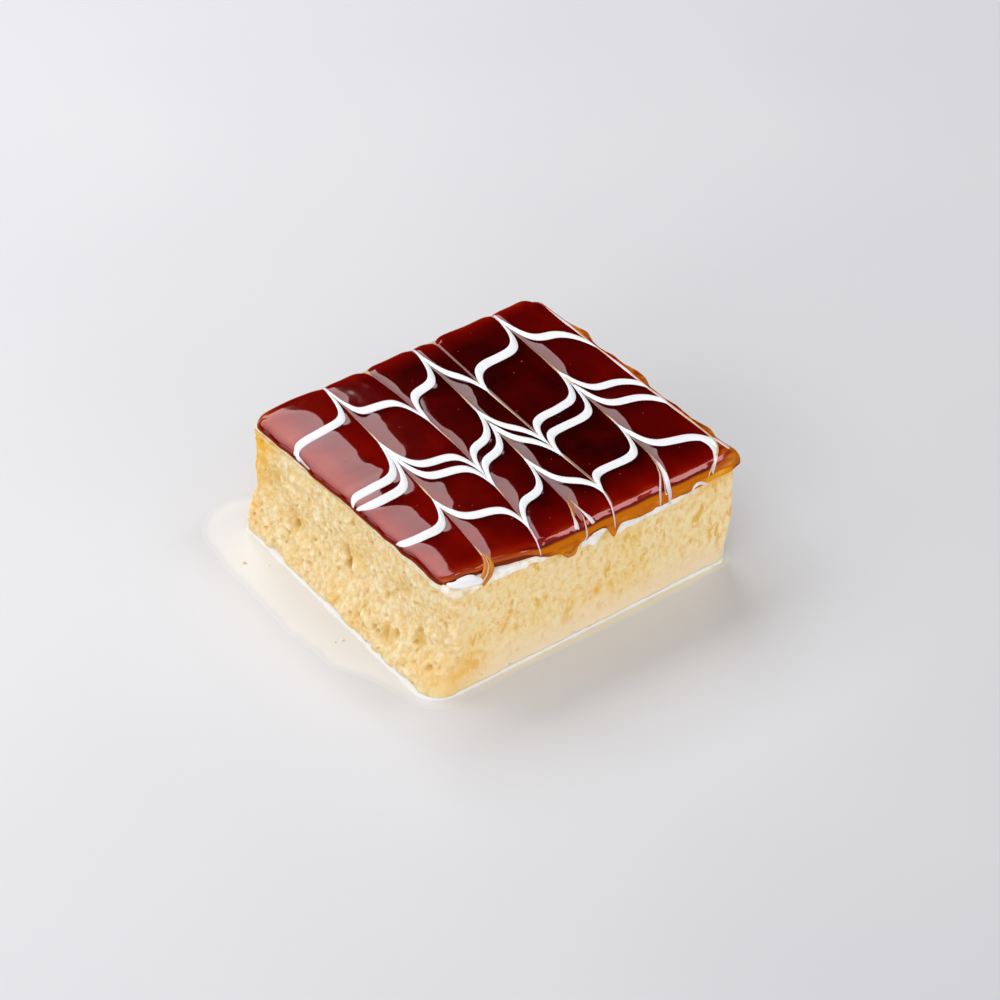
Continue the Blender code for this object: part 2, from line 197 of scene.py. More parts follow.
# ------------------------------------------------------------------------------------------------------------
# Sponge. A light egg sponge baked in a tray and soaked with milk. The front is cut smooth with a wet knife;
# the left side is torn, with open pores, lumps and one deep pit, and slumps outwards at its foot.
# ------------------------------------------------------------------------------------------------------------
SPONGE_BOTTOM, SPONGE_TOP = 0.9, 34.4
TOP_CORNERS = [(-47.2, -45.9), (50.0, -46.7), (48.8, 43.8), (-48.6, 46.4)]
FOOT_CORNERS = [(-56.0, -47.0), (48.6, -46.6), (48.8, 45.4), (-51.8, 47.6)]
TOP_RADII = (2.5, 1.5, 5.0, 2.5)
FOOT_RADII = (8.0, 4.0, 5.0, 3.0)
FLARE_TOP = 18.0
SPONGE_SIDE_POINTS = (200, 120, 120, 380)
SPONGE_CORNER_POINTS = 12
SPONGE_ROWS = 110
# Torn places on the left side: along, height, radius, depth in, or out where it is a lump.
TORN_PLACES = [
    (0.8, 14.6, 1.4, 2.3), (1.2, 16.8, 1.3, 2.0), (2.6, 18.8, 1.3, 1.1), (-2.2, 16.4, 1.8, -0.9),
    (5.6, 13.6, 2.4, -1.1), (25.7, 12.8, 1.0, 1.2), (-8.8, 5.6, 0.9, 1.0), (-12.4, 8.2, 1.0, 1.2),
    (-24.4, 8.2, 1.1, 1.3), (-40.6, 7.5, 1.3, 1.3), (4.4, 29.4, 0.9, 0.8), (18.4, 29.2, 0.8, 0.7),
    (-19.0, 17.5, 0.8, 0.8), (12.0, 21.0, 0.8, 0.8), (2.8, 4.8, 2.6, -1.6), (5.6, 7.6, 2.2, -0.9),
    (-3.0, 11.5, 2.4, -0.7), (-14.0, 4.5, 3.0, -0.7), (-24.0, 24.0, 4.5, 0.7), (-12.0, 11.0, 4.0, -0.9),
    (27.0, 14.0, 4.0, 0.8), (36.0, 24.0, 4.5, 0.7), (-33.0, 12.0, 3.0, 1.1), (-20.5, 6.0, 2.2, 1.2),
    (20.0, 7.0, 3.5, -0.8), (-40.0, 20.0, 3.5, -0.6),
]
# Where caramel or syrup soaked into the front: along, height, their radii, strength.
SYRUP_PLACES = [
    (43.5, 33.0, 5.5, 2.6, 1.0), (-40.0, 33.6, 5.0, 1.6, 0.45), (-8.5, 31.0, 5.0, 1.8, 0.55),
    (4.8, 30.4, 2.2, 1.6, 0.6), (1.6, 12.0, 1.0, 1.5, 1.0), (12.0, 12.5, 2.2, 1.6, 0.35),
    (-6.0, 12.0, 1.2, 2.2, 0.45), (-44.0, 7.0, 6.0, 5.0, 0.4), (15.5, 8.0, 1.6, 1.2, 0.3),
    (-8.0, 7.0, 1.4, 1.2, 0.35), (-30.0, 17.0, 2.0, 4.0, 0.25), (27.0, 23.0, 0.8, 1.0, 0.35),
    (-50, 3, 7, 7, 0.3), (-40, 9, 6, 5, 0.2), (44, 31, 5, 3.5, 0.45), (-24, 14, 7, 5, 0.12),
    (0, 14, 9, 6, 0.14),
]
# Where the left side is thin and the light shines through it: along, height, their radii, strength.
GLOWING_PLACES = [
    (45.0, 27.0, 5.5, 9.0, 1.2), (46.0, 11.0, 5.0, 9.0, 0.5), (40.0, 31.0, 3.0, 4.0, 0.5),
    (2.6, 4.8, 3.0, 2.6, 0.45), (36.0, 33.0, 5.0, 1.6, 0.35), (24.0, 4.0, 5.0, 3.0, 0.2),
    (-20.0, 33.6, 7.0, 1.2, 0.3), (-40.0, 5.0, 6.0, 6.0, 0.3), (-10.0, 3.0, 4.0, 2.4, 0.25),
]


def ease(value, low, high):
    """0 below low, 1 above high, and a smooth S between them."""
    share = np.clip((value - low) / (high - low), 0, 1)
    return share * share * (3 - 2 * share)


def bell(value, centre, width):
    """A smooth hump of height 1."""
    return np.exp(-(((value - centre) / width) ** 2))


def points_at(x, y=0, z=0):
    """Points from their coordinates."""
    return np.stack(np.broadcast_arrays(x, y, z), axis=-1)


def soft_noise(points, size, seed):
    """Smooth unevenness from -1 to 1: random heights at the corners of cubes of this size, eased between
    them."""
    heights = np.random.default_rng(seed).uniform(-1, 1, (32, 32, 32))
    place = np.asarray(points) / size + 500
    cell = np.floor(place).astype(int)
    share = place - cell
    share = share * share * (3 - 2 * share)
    total = np.zeros(place.shape[:-1])
    for corner in np.ndindex(2, 2, 2):
        weight = np.prod(np.where(np.array(corner) == 1, share, 1 - share), axis=-1)
        i, j, k = np.moveaxis((cell + corner) % 32, -1, 0)
        total += weight * heights[i, j, k]
    return total


def layered(points, *layers):
    """The sum of a few soft noises, each given as (height, size, seed)."""
    return sum(height * soft_noise(points, size, seed) for height, size, seed in layers)


def bowls(points, size, seed, share, low, high):
    """Depth from 0 to 1 of scattered bowls, 1 - (distance / radius)^2: at most one to each cube of this size,
    in this share of the cubes, of a random radius between low and high times the cube's side."""
    draw = np.random.default_rng(seed)
    centres = draw.uniform(0, 1, (24, 24, 24, 3))
    radii = np.where(draw.random((24, 24, 24)) < share, draw.uniform(low, high, (24, 24, 24)), 1e-6)
    place = np.asarray(points) / size + 480
    cell = np.floor(place).astype(int)
    depth = np.zeros(place.shape[:-1])
    for step in np.ndindex(3, 3, 3):
        near = cell + np.array(step) - 1
        i, j, k = np.moveaxis(near % 24, -1, 0)
        away = np.linalg.norm(place - near - centres[i, j, k], axis=-1)
        depth = np.maximum(depth, 1 - (away / radii[i, j, k]) ** 2)
    return depth


def rounded_outline(corners, radii, side_points, corner_points):
    """Points and outward normals round four corners, anticlockwise: an arc at each, then a straight run."""
    corners = np.array(corners)
    runs = np.roll(corners, -1, axis=0) - corners
    outward = np.column_stack([runs[:, 1], -runs[:, 0]]) / np.linalg.norm(runs, axis=1)[:, None]
    points, normals = [], []
    for i in range(4):
        j = (i + 1) % 4
        before, after = outward[i - 1], outward[i]
        share = np.linspace(0, 1, corner_points + 1)[:, None]
        arc = before + (after - before) * share
        arc /= np.linalg.norm(arc, axis=1)[:, None]
        centre = corners[i] - radii[i] * (before + after)
        start = centre + radii[i] * after
        end = corners[j] - radii[j] * outward[j]
        share = np.linspace(0, 1, side_points[i] + 2)[1:-1, None]
        points += [centre + radii[i] * arc, start + (end - start) * share]
        normals += [arc, np.repeat(after[None], side_points[i], axis=0)]
    return np.vstack(points), np.vstack(normals)


def sponge_outlines(side_points, corner_points):
    """The sponge's outline in plan at its top and at its foot, and which way its sides face there."""
    top, out = rounded_outline(TOP_CORNERS, TOP_RADII, side_points, corner_points)
    return top, rounded_outline(FOOT_CORNERS, FOOT_RADII, side_points, corner_points)[0], out


def sponge_plan(top, foot, z):
    """The outline in plan at a height: the foot's share of it fades out upwards to FLARE_TOP."""
    flare = 1 - ease(np.asarray(z), -2, FLARE_TOP)
    return top + (foot - top) * flare[..., None]


def facing(out, way_x, way_y):
    """How squarely sides face a way in plan, from 0 to 1."""
    return np.maximum(0, out[:, 0] * way_x + out[:, 1] * way_y) ** 2


def quads(index):
    """The four-sided faces between neighbours in a grid of point numbers."""
    return np.stack([index[:-1, :-1], index[:-1, 1:], index[1:, 1:], index[1:, :-1]], axis=-1).reshape(-1, 4)


def shape(name, points, faces, **marks):
    """An object from points in millimetres and faces, turned outwards. Marks are numbers kept at the
    points."""
    mesh = bpy.data.meshes.new(name)
    mesh.from_pydata(points.reshape(-1, 3) * 0.001, [], faces)
    faced = bmesh.new()
    faced.from_mesh(mesh)
    bmesh.ops.recalc_face_normals(faced, faces=faced.faces)
    faced.to_mesh(mesh)
    faced.free()
    mesh.shade_smooth()
    for mark, values in marks.items():
        layer = mesh.attributes.new(mark, "FLOAT", "POINT")
        layer.data.foreach_set("value", np.broadcast_to(values, points.shape[:-1]).astype(np.float32).ravel())
    piece = bpy.data.objects.new(name, mesh)
    scene.collection.objects.link(piece)
    return piece


def surface(name, grids, **marks):
    """An object of one or more closed forms. Each is a grid of points in millimetres whose last column joins
    its first, with a cap on its first and last row."""
    rows, columns = grids.shape[-3:-1]
    index = np.arange(rows * columns).reshape(rows, columns)
    caps = np.stack([index[0, ::-1], index[-1]])
    starts = np.arange(grids.size // (3 * rows * columns))[:, None, None] * rows * columns
    faces = (quads(np.column_stack([index, index[:, 0]])) + starts).reshape(-1, 4).tolist()
    return shape(name, grids, faces + (caps + starts).reshape(-1, columns).tolist(), **marks)


def place_piece(piece, finish, node):
    """Gives a piece its finish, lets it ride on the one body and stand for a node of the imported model."""
    piece.data.materials.append(finish.material)
    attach(piece, "root")
    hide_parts(node)


sponge_top, sponge_foot, sponge_out = sponge_outlines(SPONGE_SIDE_POINTS, SPONGE_CORNER_POINTS)
sponge_z = np.linspace(SPONGE_BOTTOM, SPONGE_TOP, SPONGE_ROWS)[:, None] * np.ones(len(sponge_top))
sponge_base = np.dstack([sponge_plan(sponge_top, sponge_foot, sponge_z), sponge_z])
base_x, base_y = sponge_base[..., 0], sponge_base[..., 1]
facing_left, facing_front = facing(sponge_out, -1, 0), facing(sponge_out, 0, -1)
smooth_foot = (1 - ease(base_y, -46, -36)) * (1 - ease(sponge_z, 4, 16))
torn = facing_left + 0.7 * (1 - facing_left - facing_front) + facing_front * (1 - ease(base_x, -50, -40))
torn = np.clip(torn, 0, 1) * (1 - 0.65 * smooth_foot)

frayed = sponge_base + 0.5 * np.stack([soft_noise(sponge_base, 1.3, seed) for seed in (16, 17, 18)], axis=-1)
holes = np.maximum(bowls(frayed, 4.2, 11, 0.5, 0.16, 0.32), 0.8 * bowls(frayed, 2.5, 12, 0.6, 0.18, 0.34))
grains = 0.5 * bowls(frayed, 1.9, 13, 1, 0.45, 0.8) + 0.5 * bowls(frayed, 1.05, 15, 1, 0.45, 0.8)
lumps = bowls(frayed, 4.6, 20, 0.75, 0.3, 0.62)
cut_holes = bowls(frayed, 2.0, 14, 0.3, 0.1, 0.26)
rough = soft_noise(sponge_base, 1.1, 3)
swell = layered(sponge_base, (0.6, 6.5, 1), (0.5, 3.2, 2)) + 0.65 * lumps - 0.25
fine_relief = (0.46 * grains - 0.22 - 1.1 * holes + 0.16 * rough) * (0.12 + 0.88 * ease(sponge_z, 1.0, 4.5))
torn_relief = swell + fine_relief
cut_relief = layered(sponge_base, (0.16, 7.0, 4), (0.10, 1.4, 5)) - 0.25 * cut_holes
places = np.zeros_like(sponge_z)
ragged = 1 + 0.35 * soft_noise(sponge_base, 1.6, 19)
for along, height, radius, depth in TORN_PLACES:
    away = np.hypot(base_y - along, sponge_z - height) / radius
    places += facing_left * depth * np.exp(-((away * ragged) ** 2.6))
fade = 1 - 0.8 * ease(sponge_z, SPONGE_TOP - 2.5, SPONGE_TOP)
relief = (cut_relief + torn * (torn_relief - cut_relief)) * fade - places
sponge_points = sponge_base.copy()
sponge_points[..., :2] += sponge_out * relief[..., None]
lean_up = layered(sponge_base, (0.4, 1.7, 6), (0.3, 3.5, 7))
sponge_points[..., 2] += torn * lean_up * ease(sponge_z, 1, 4) * (1 - ease(sponge_z, 31, 34))

# Painted shade: the crumb is darker in the pores and between the grains, and lighter on the tops of the
# lumps.
torn_hollow = holes + 0.5 - 0.75 * grains - 0.45 * lumps - 0.2 * rough + 0.5 * np.maximum(places, 0)
hollow = np.clip(torn * torn_hollow + (1 - torn) * cut_holes, 0, 1)
soaked = (1 - ease(sponge_z, 1, 13)) * (1 - 0.6 * torn) * (0.25 + 0.75 * ease(base_x, -50, -30))


def stains(spots, along):
    """The sum of soft spots on a side: strength * bell along it * bell up it."""
    return sum(strength * bell(along, place, width) * bell(sponge_z, height, tall)
               for place, height, width, tall, strength in spots)


# The syrup mark holds real syrup stains on the front and a painted glow where the left side is thin.
near_left = 1 - ease(base_x, -47, -36)
syrup = facing_front * stains(SYRUP_PLACES, base_x)
syrup = syrup + near_left * (1 - facing_front) * stains(GLOWING_PLACES, base_y)
# Painted shade, darker still in the deep pit and the torn holes.
pit = np.clip((places - 0.45) / 1.2 + 0.5 * torn * holes, 0, 1)
sponge = surface("sponge_crumb", sponge_points, hollow=hollow, soaked=soaked, torn=torn, pit=pit,
                 syrup=np.clip(syrup, 0, 1))

crumb = Finish("milk_soaked_crumb", Roughness=0.55, Subsurface_Weight=0.5, Subsurface_Scale=0.002,
               Subsurface_Radius=(1.0, 0.62, 0.25), Specular_IOR_Level=0.3)
cut_face = crumb.ramp(crumb.noise(520.0, 6.0, (1, 1, 0.8), 0.65),
                      (0.34, (0.84, 0.54, 0.18)), (0.45, (0.91, 0.675, 0.33)), (0.62, (0.94, 0.78, 0.46)))
torn_face = crumb.ramp(crumb.noise(480.0, 5.0, (1, 1, 1), 0.6),
                       (0.32, (0.795, 0.555, 0.235)), (0.5, (0.88, 0.70, 0.395)), (0.66, (0.945, 0.84, 0.60)))
small_flecks = crumb.ramp(crumb.noise(330.0, 4.0, (1, 1, 0.5), 0.6), (0.57, 0.0), (0.66, 1.0))
large_flecks = crumb.ramp(crumb.noise(120.0, 4.0, (1, 1, 0.6), 0.6), (0.54, 0.0), (0.70, 0.45))
syrup_edge = crumb.ramp(crumb.noise(260.0, 4.0), (0.32, 0.35), (0.6, 1.0))
cut_share = crumb.math("SUBTRACT", 1.0, crumb.mark("torn"))
crumb_colour = crumb.mix(crumb.mark("torn"), cut_face, torn_face)
for share, colour in (
    (crumb.math("MULTIPLY", small_flecks, cut_share), (0.80, 0.46, 0.09)),
    (large_flecks, (0.90, 0.60, 0.15)),
    (crumb.mark("soaked"), (0.93, 0.74, 0.50)),
    # Painted shade in the hollows and between the grains.
    (crumb.mark("hollow"), (0.75, 0.48, 0.14)),
    # Painted shade in the deep pit.
    (crumb.mark("pit"), (0.61, 0.35, 0.05)),
    # Syrup stains on the front, and a painted glow on the thin parts of the left side.
    (crumb.math("MULTIPLY", syrup_edge, crumb.mark("syrup")), (0.86, 0.45, 0.02)),
):
    crumb_colour = crumb.mix(share, crumb_colour, colour)
crumb.paint(crumb_colour)
crumb.bump(crumb.noise(1300.0, 5.0), 0.00028, 0.5)
place_piece(sponge, crumb, "sponge")

# ------------------------------------------------------------------------------------------------------------
# Whipped cream. A thin coat spread on the sponge before the glaze. Its edge shows as a white line on the left
# side, deeper towards the front, and the knife wiped it down the front side in smears.
# ------------------------------------------------------------------------------------------------------------
CREAM_BOTTOM = 34.7
CREAM_SIDE_POINTS = (360, 160, 160, 340)
CREAM_CORNER_POINTS = 14
# Smears on the front side: along, width, depth.
CREAM_SMEARS = [
    (-43.5, 3.0, 1.0), (-29.5, 3.2, 0.7), (-24.0, 2.2, 1.0), (-17.0, 3.2, 1.6), (-4.0, 1.8, 2.4),
    (0.1, 3.3, 4.6), (8.6, 1.8, 1.4), (13.5, 2.4, 0.8), (20.0, 2.2, 0.6), (27.0, 2.5, 0.2),
    (36.0, 1.8, 0.3),
]
# The coat's profile from inside and below to inside and above: share of its depth down (or mm up, where
# negative), share of its thickness out, and mm further out.
CREAM_PROFILE = [
    (0.0, 0.0, -2.5), (0.0, 0.0, 0.0), (0.5, 0.0, 0.0), (0.95, 0.0, 0.0), (1.0, 0.25, 0.0),
    (0.97, 0.6, 0.0), (0.85, 0.85, 0.0), (0.6, 1.0, 0.0), (0.3, 1.05, 0.0), (0.0, 1.0, 0.0),
    (-0.5, 0.97, 0.0), (-0.95, 0.8, 0.0), (-1.25, 0.45, -0.2), (-1.4, 0.1, -0.8), (-1.4, 0.0, -1.8),
    (-1.35, 0.0, -3.2),
]

cream_plan, cream_foot, cream_out = sponge_outlines(CREAM_SIDE_POINTS, CREAM_CORNER_POINTS)
cream_left, cream_front = facing(cream_out, -1, 0), facing(cream_out, 0, -1)
cream_x, cream_y = cream_plan.T
cream_ragged = layered(points_at(cream_x, cream_y, CREAM_BOTTOM), (0.6, 2.2, 21), (0.4, 0.9, 22))
front_depth = 0.5 + 3.5 * ease(cream_x, 6, 8) * (1 - ease(cream_x, 27, 38))
for place, width, depth in CREAM_SMEARS:
    front_depth = front_depth + depth * bell(cream_x, place, width)
towards_front = ease(-cream_y, -12, 40)
left_depth = -0.7 + 2.0 * towards_front + (0.3 + 0.7 * towards_front) * cream_ragged
front_depth = front_depth + 0.4 * cream_ragged
cream_depth = np.maximum(0.1 + cream_front * front_depth + cream_left * left_depth, -0.5)
left_thick = (0.55 + 0.3 * cream_ragged) * towards_front - 0.1
cream_thick = 0.4 + cream_front * (0.7 + 0.3 * cream_ragged) + cream_left * left_thick + 0.12 * cream_ragged
cream_stand = 0.3 - 1.2 * np.maximum(cream_left, facing(cream_out, 0, 1)) * (1 - towards_front)
cream_rows = []
for down, outwards, further in CREAM_PROFILE:
    z = CREAM_BOTTOM - cream_depth * down if down >= 0 else np.full(len(cream_plan), CREAM_BOTTOM - down)
    z = np.minimum(z, CREAM_BOTTOM - min(down, 0))
    out = cream_stand + further + cream_thick * outwards
    plan = sponge_plan(cream_plan, cream_foot, z) + cream_out * out[:, None]
    cream_rows.append(np.column_stack([plan, z]))
cream_grid = np.array(cream_rows)
swirl = layered(cream_grid, (0.2, 1.8, 23), (0.12, 0.8, 24))
lift = 0.25 * soft_noise(cream_grid, 2.4, 25)
# The rows that the sponge and the glaze hide stay smooth.
swirl[:4] = 0
lift[:11] = lift[-1] = swirl[-1] = 0
cream_grid[..., :2] += cream_out * swirl[..., None]
cream_grid[..., 2] += lift
cream_white = cream_front * ease(cream_x, -45, -34) + 0.25 * cream_left * towards_front
cream = surface("cream_coat", cream_grid, white=cream_white)

whipped = Finish("whipped_cream", Roughness=0.42, Subsurface_Weight=0.25, Subsurface_Scale=0.002,
                 Specular_IOR_Level=0.4)
cream_noise = whipped.noise(380.0, 5.0, (1, 1, 1), 0.6)
thin_cream = whipped.ramp(cream_noise, (0.36, (0.80, 0.56, 0.26)), (0.47, (0.86, 0.69, 0.45)),
                          (0.62, (0.93, 0.83, 0.68)))
thick_cream = whipped.ramp(cream_noise, (0.34, (0.86, 0.70, 0.50)), (0.43, (0.94, 0.86, 0.76)),
                           (0.55, (0.97, 0.94, 0.90)))
whipped.paint(whipped.mix(whipped.mark("white"), thin_cream, thick_cream))
whipped.bump(whipped.noise(900.0, 4.0), 0.0003, 0.5)
place_piece(cream, whipped, "cream_layer")

# ------------------------------------------------------------------------------------------------------------
# Caramel glaze. Burnt-sugar caramel poured warm over the cream: a comb drawn through it to and fro left a
# crease at each drag and a soft cushion between them. Its edge rolls over, and it ran down the front in a
# thin amber sheet.
# ------------------------------------------------------------------------------------------------------------
GLAZE_BOTTOM, GLAZE_TOP = 36.1, 38.1
GLAZE_LEFT, GLAZE_RIGHT = -48.2, 50.6
# Where the drags reach the front and the back edge, and how far past the front edge they are followed.
NEAR_FRONT, NEAR_BACK, DRAG_END = -48.0, 46.0, -48.5
# Each drag of the comb: where it crosses the middle, its lean, its bow at the ends, how far it hooks at the
# front, how suddenly, and which way it went, 1 to the back and -1 to the front.
DRAGS = np.array([
    (-28.0, 0.106, -0.9, 0.6, 1.5, 1), (-10.4, 0.077, -3.4, 1.0, 1.5, -1), (2.8, 0.094, -0.6, 1.2, 1.5, 1),
    (10.9, 0.034, 0.7, 3.9, 1.5, -1), (32.4, 0.057, -0.3, 4.9, 1.5, 1), (48.5, 0.004, 0.0, 8.6, 3.0, -1),
])
DRAG_X, DRAG_WAY = DRAGS[:, 0], DRAGS[:, 5]
PLACES = np.array([GLAZE_LEFT, *DRAG_X, GLAZE_RIGHT])
# Four lines of icing, from back to front: their distance back at PLACES (without the last), as piped; their
# half widths at four places; how far each drag pulled them, and how widely.
LINE_LEVELS = np.array([
    (28.6, 30.4, 28.2, 28.0, 27.2, 26.9, 27.7), (0.7, 0.6, -1.2, -2.4, -2.3, -1.7, -0.7),
    (-5.4, -4.8, -7.4, -8.6, -9.0, -9.7, -10.0), (-23.9, -25.1, -27.8, -28.8, -30.7, -31.7, -33.5),
])
HALF_PLACES = (-48, -10, 20, 48)
LINE_HALVES = np.array([
    (1.49, 1.57, 1.71, 1.6), (1.62, 1.47, 1.49, 1.32), (1.75, 1.49, 1.51, 1.4), (1.66, 1.42, 1.46, 1.57),
])
LINE_PULLS = np.array([
    (17.8, 13.2, 15.4, 10.9, 16.6, 12.9), (16.3, 11.2, 13.8, 10.4, 14.6, 8.0),
    (16.2, 11.6, 12.9, 11.1, 15.8, 7.9), (11.8, 11.0, 16.0, 8.6, 15.3, 8.0),
])
LINE_REACHES = np.array([
    (1.11, 1.47, 1.62, 1.97, 1.82, 3.2), (1.9, 1.59, 2.3, 1.59, 1.84, 3.2),
    (1.75, 1.53, 2.27, 1.48, 1.71, 3.2), (2.09, 1.74, 1.63, 1.34, 1.76, 2.52),
])
CORE = 0.55
# How far the glaze sinks along a line of icing, and in the nick at each crease, with the nick's width.
LINE_SINK, NICK_DEPTH, NICK_WIDTH = 0.2, 0.06, 0.22
# How deep each drag left its crease, how steeply the left side falls, and the crests of the cushions: for a
# drag and the cell between two lines of icing, how far right of its crease the glaze is highest, as (back,
# mm). The first list is for the left side, from its edge. Everywhere else the crest is at the crease.
CREASE_DEPTHS = (0.25, 0.22, 0.34, 0.02, 0.43, 0.02)
LEFT_SLOPE, LEFT_ROLL = 0.034, 0.34
SHARP_CREST = 0.22
CRESTS = [
    (0, 0, [(29, 13.3), (33, 13.4), (36, 13.8), (39, 13.0), (40.5, 11.8), (42, 9.5), (43.2, 6.5)]),
    (0, 1, [(2, 11.6), (3.5, 13.0), (5.2, 16.4), (8, 14.8), (11.2, 12.5), (18.6, 14.2), (26, 14.8),
            (28, 14.0)]),
    (0, 2, [(-4, 8.0), (-2, 9.5), (0, 10.0)]),
    (0, 3, [(-24, 11.2), (-22, 11.4), (-19, 11.2), (-15, 12.6), (-12, 12.0), (-10.7, 10.9), (-8.3, 6.4),
            (-7, 3.6), (-5.5, 1.0)]),
    (0, 4, [(-44, 0.3), (-40.5, 0.6), (-38.6, 4.4), (-35, 5.2), (-30.3, 6.1), (-27.2, 5.4), (-25, 4.6)]),
    (1, 0, [(35.5, 0.3), (37, 2.4), (39.5, 2.6), (41.5, 1.0), (43, 1.1), (44, 0.3)]),
    (1, 1, [(5.2, 0.2), (6.3, 1.4), (7.4, 3.7), (10, 4.0), (16.3, 4.1), (21, 5.0), (25.5, 5.9), (29, 6.0),
            (34, 6.0)]),
    (1, 3, [(-21, 0.2), (-19.6, 1.2), (-18.6, 3.4), (-16, 4.0), (-13.3, 4.3), (-10, 5.6), (-8.3, 6.0),
            (-5, 6.0)]),
    (1, 4, [(-43.5, 0.3), (-42, 1.0), (-40.8, 2.3), (-37, 2.8), (-32, 3.4), (-26, 4.1), (-24, 4.2)]),
    (2, 0, [(30, 0.3), (31.5, 1.0), (34, 1.7), (38, 1.6), (41, 0.9), (42.5, 0.2)]),
    (2, 1, [(-2, 0.3), (-0.5, 1.4), (3, 2.1), (8, 1.9), (10, 0.8), (11, 0.2)]),
    (2, 3, [(-30, 0.3), (-28.5, 1.9), (-26, 3.5), (-23, 4.5), (-19, 4.5), (-17, 3.0), (-15, 1.0)]),
    (2, 4, [(-38, 0.2), (-35.5, 1.3), (-33, 0.2)]),
    (3, 1, [(12.5, 0.2), (13.6, 0.9), (15.5, 2.4), (18, 2.9), (20.5, 4.5), (23, 5.4), (28, 5.6), (34, 5.6)]),
    (3, 3, [(-21, 0.2), (-19.5, 1.0), (-14, 2.5), (-11, 3.1), (-8, 4.4), (-4, 4.6)]),
    (3, 4, [(-41, 0.2), (-39.4, 1.5), (-36, 3.0), (-32.5, 4.1), (-29, 4.4), (-24, 4.4)]),
    (5, 1, [(8.8, 0.2), (10.2, 1.4), (13, 2.9), (17, 3.5), (22, 3.4), (26, 4.4), (31, 4.4)]),
    (5, 3, [(-23.2, 0.2), (-21.5, 1.5), (-18, 2.7), (-13, 3.5), (-9.5, 4.8), (-5, 4.8)]),
    (5, 4, [(-35.6, 0.2), (-34, 1.6), (-32.5, 3.7), (-28, 3.7)]),
]
EDGE_ROLL, FRONT_ROLL = 1.5, 1.7
CORNER_RADII = {(-1, -1): 3.0, (1, -1): 2.0, (-1, 1): 5.0, (1, 1): 6.0}
# The sheet that ran down the front: its two ends, and its drips as (along, width, length).
RUN_ENDS = (-21.0, 48.5)
RUN_DRIPS = [
    (-9.8, 2.0, 2.9), (0.1, 3.2, -1.9), (5.6, 1.4, 3.2), (18.0, 5.0, 0.5), (31.0, 2.6, 0.5),
    (45.0, 3.0, 0.3),
]
# The front edge as (along, back), and how far out the right edge stands as (back, mm).
FRONT_EDGE = [
    (-60, -43.2), (-42, -43.2), (-38, -44.6), (-34.5, -44.2), (-30, -45.4), (-26, -46.0), (-21, -47.3),
    (-16, -48.2), (60, -48.6),
]
RIGHT_EDGE = [
    (-60, 0.0), (-46, 0.3), (-38, -0.5), (-34, 0.7), (-28, -0.6), (-20, -0.2), (-15, -1.0), (-9, -0.9),
    (-5, 0.9), (-1, 1.0), (4, -0.1), (9, 0.1), (13, -1.1), (17, -0.7), (22, 1.1), (27, -0.4), (32, -1.6),
    (60, -1.8),
]
# The top's grid: its step across, the strips of closer rows at its front and back, and the rows between.
GLAZE_STEP, EDGE_STRIP, MIDDLE_ROWS = 0.42, 3.8, 203


def drag_shifts(y):
    """How far each drag stands sideways at y from where it crosses the middle, with no shift at the two
    edges: lean * y + bow * (y / 45)^2 - hook * (how far y is past -35, over 13)^suddenness."""
    y = np.maximum(np.asarray(y), DRAG_END)[..., None]
    hook = DRAGS[:, 3] * (np.maximum(-35 - y, 0) / 13) ** DRAGS[:, 4]
    shift = DRAGS[:, 1] * y + DRAGS[:, 2] * (y / 45) ** 2 - hook
    edge = np.zeros_like(shift[..., :1])
    return np.concatenate([edge, shift, edge], axis=-1)


def between_drags(x, places_from, places_to):
    """Moves x from one set of places to another, in step with the drags on either side of it."""
    before = np.clip((x[..., None] >= places_from[..., :-1]).sum(axis=-1) - 1, 0, len(PLACES) - 2)[..., None]
    low, high = (np.take_along_axis(places_from, before + side, -1) for side in (0, 1))
    share = np.clip((x[..., None] - low) / (high - low), 0, 1)
    low, high = (np.take_along_axis(places_to, before + side, -1) for side in (0, 1))
    return (low + (high - low) * share)[..., 0]


def leaned(x, y):
    """The x at y of points whose x is named where it crosses the middle: they lean as the drags beside them
    do."""
    x, y = np.broadcast_arrays(x, y)
    shifts = drag_shifts(y)
    return between_drags(x, PLACES + 0 * shifts, PLACES + shifts)


def named(x, y):
    """The other way: the x by which a point of the glaze is named."""
    x, y = np.broadcast_arrays(x, y)
    shifts = drag_shifts(y)
    return between_drags(x, PLACES + shifts, PLACES + 0 * shifts)


def smoothed(curve, value, step):
    """A curve with its corners eased: its mean at five places this far apart."""
    return sum(curve(value + step * side) for side in (-2, -1, 0, 1, 2)) / 5


def knotted(value, knots):
    """A value read off a list of (place, height) knots, its corners eased over a millimetre or so."""
    places, heights = np.array(knots, dtype=float).T
    return smoothed(lambda place: np.interp(place, places, heights), value, 0.45)


def glaze_back(x):
    """The back edge: a slight slope, with a dip where each drag left or reached it."""
    at_back = DRAG_X + drag_shifts(NEAR_BACK)[1:-1]
    dips = sum((1.3 if way < 0 else 0.5) * bell(x, place, 2.2) for place, way in zip(at_back, DRAG_WAY))
    return 46.6 - 0.016 * x - dips + 0.15 * np.sin(x / 2.3) + 0.9 * bell(x, -33, 6)


def glaze_front(x):
    """The front edge: nearly straight along the run, and drawn back at the left, where the cream shows."""
    return knotted(x, FRONT_EDGE) + 0.08 * np.sin(x / 1.3) + 0.08 * np.sin(x / 3.1)


def front_bevel(inside):
    """How far the front rim has dropped at a distance inside it: level, then a 28 degree bevel, then
    steep."""
    return np.interp(inside, (-0.5, 0.0, 0.7, 1.3, 1.6, 2.0, 2.8, 3.2, 3.7, 4.3),
                     (3.2, 2.6, 1.78, 1.12, 0.91, 0.7, 0.275, 0.11, 0.025, 0))


def roll(inside, radius):
    """How far an edge has rolled down at a distance inside it: a quarter circle, cut short of the upright."""
    away = np.clip(1 - inside / radius - 0.12, 0, 0.88)
    return radius * (1 - np.sqrt(1 - away**2))


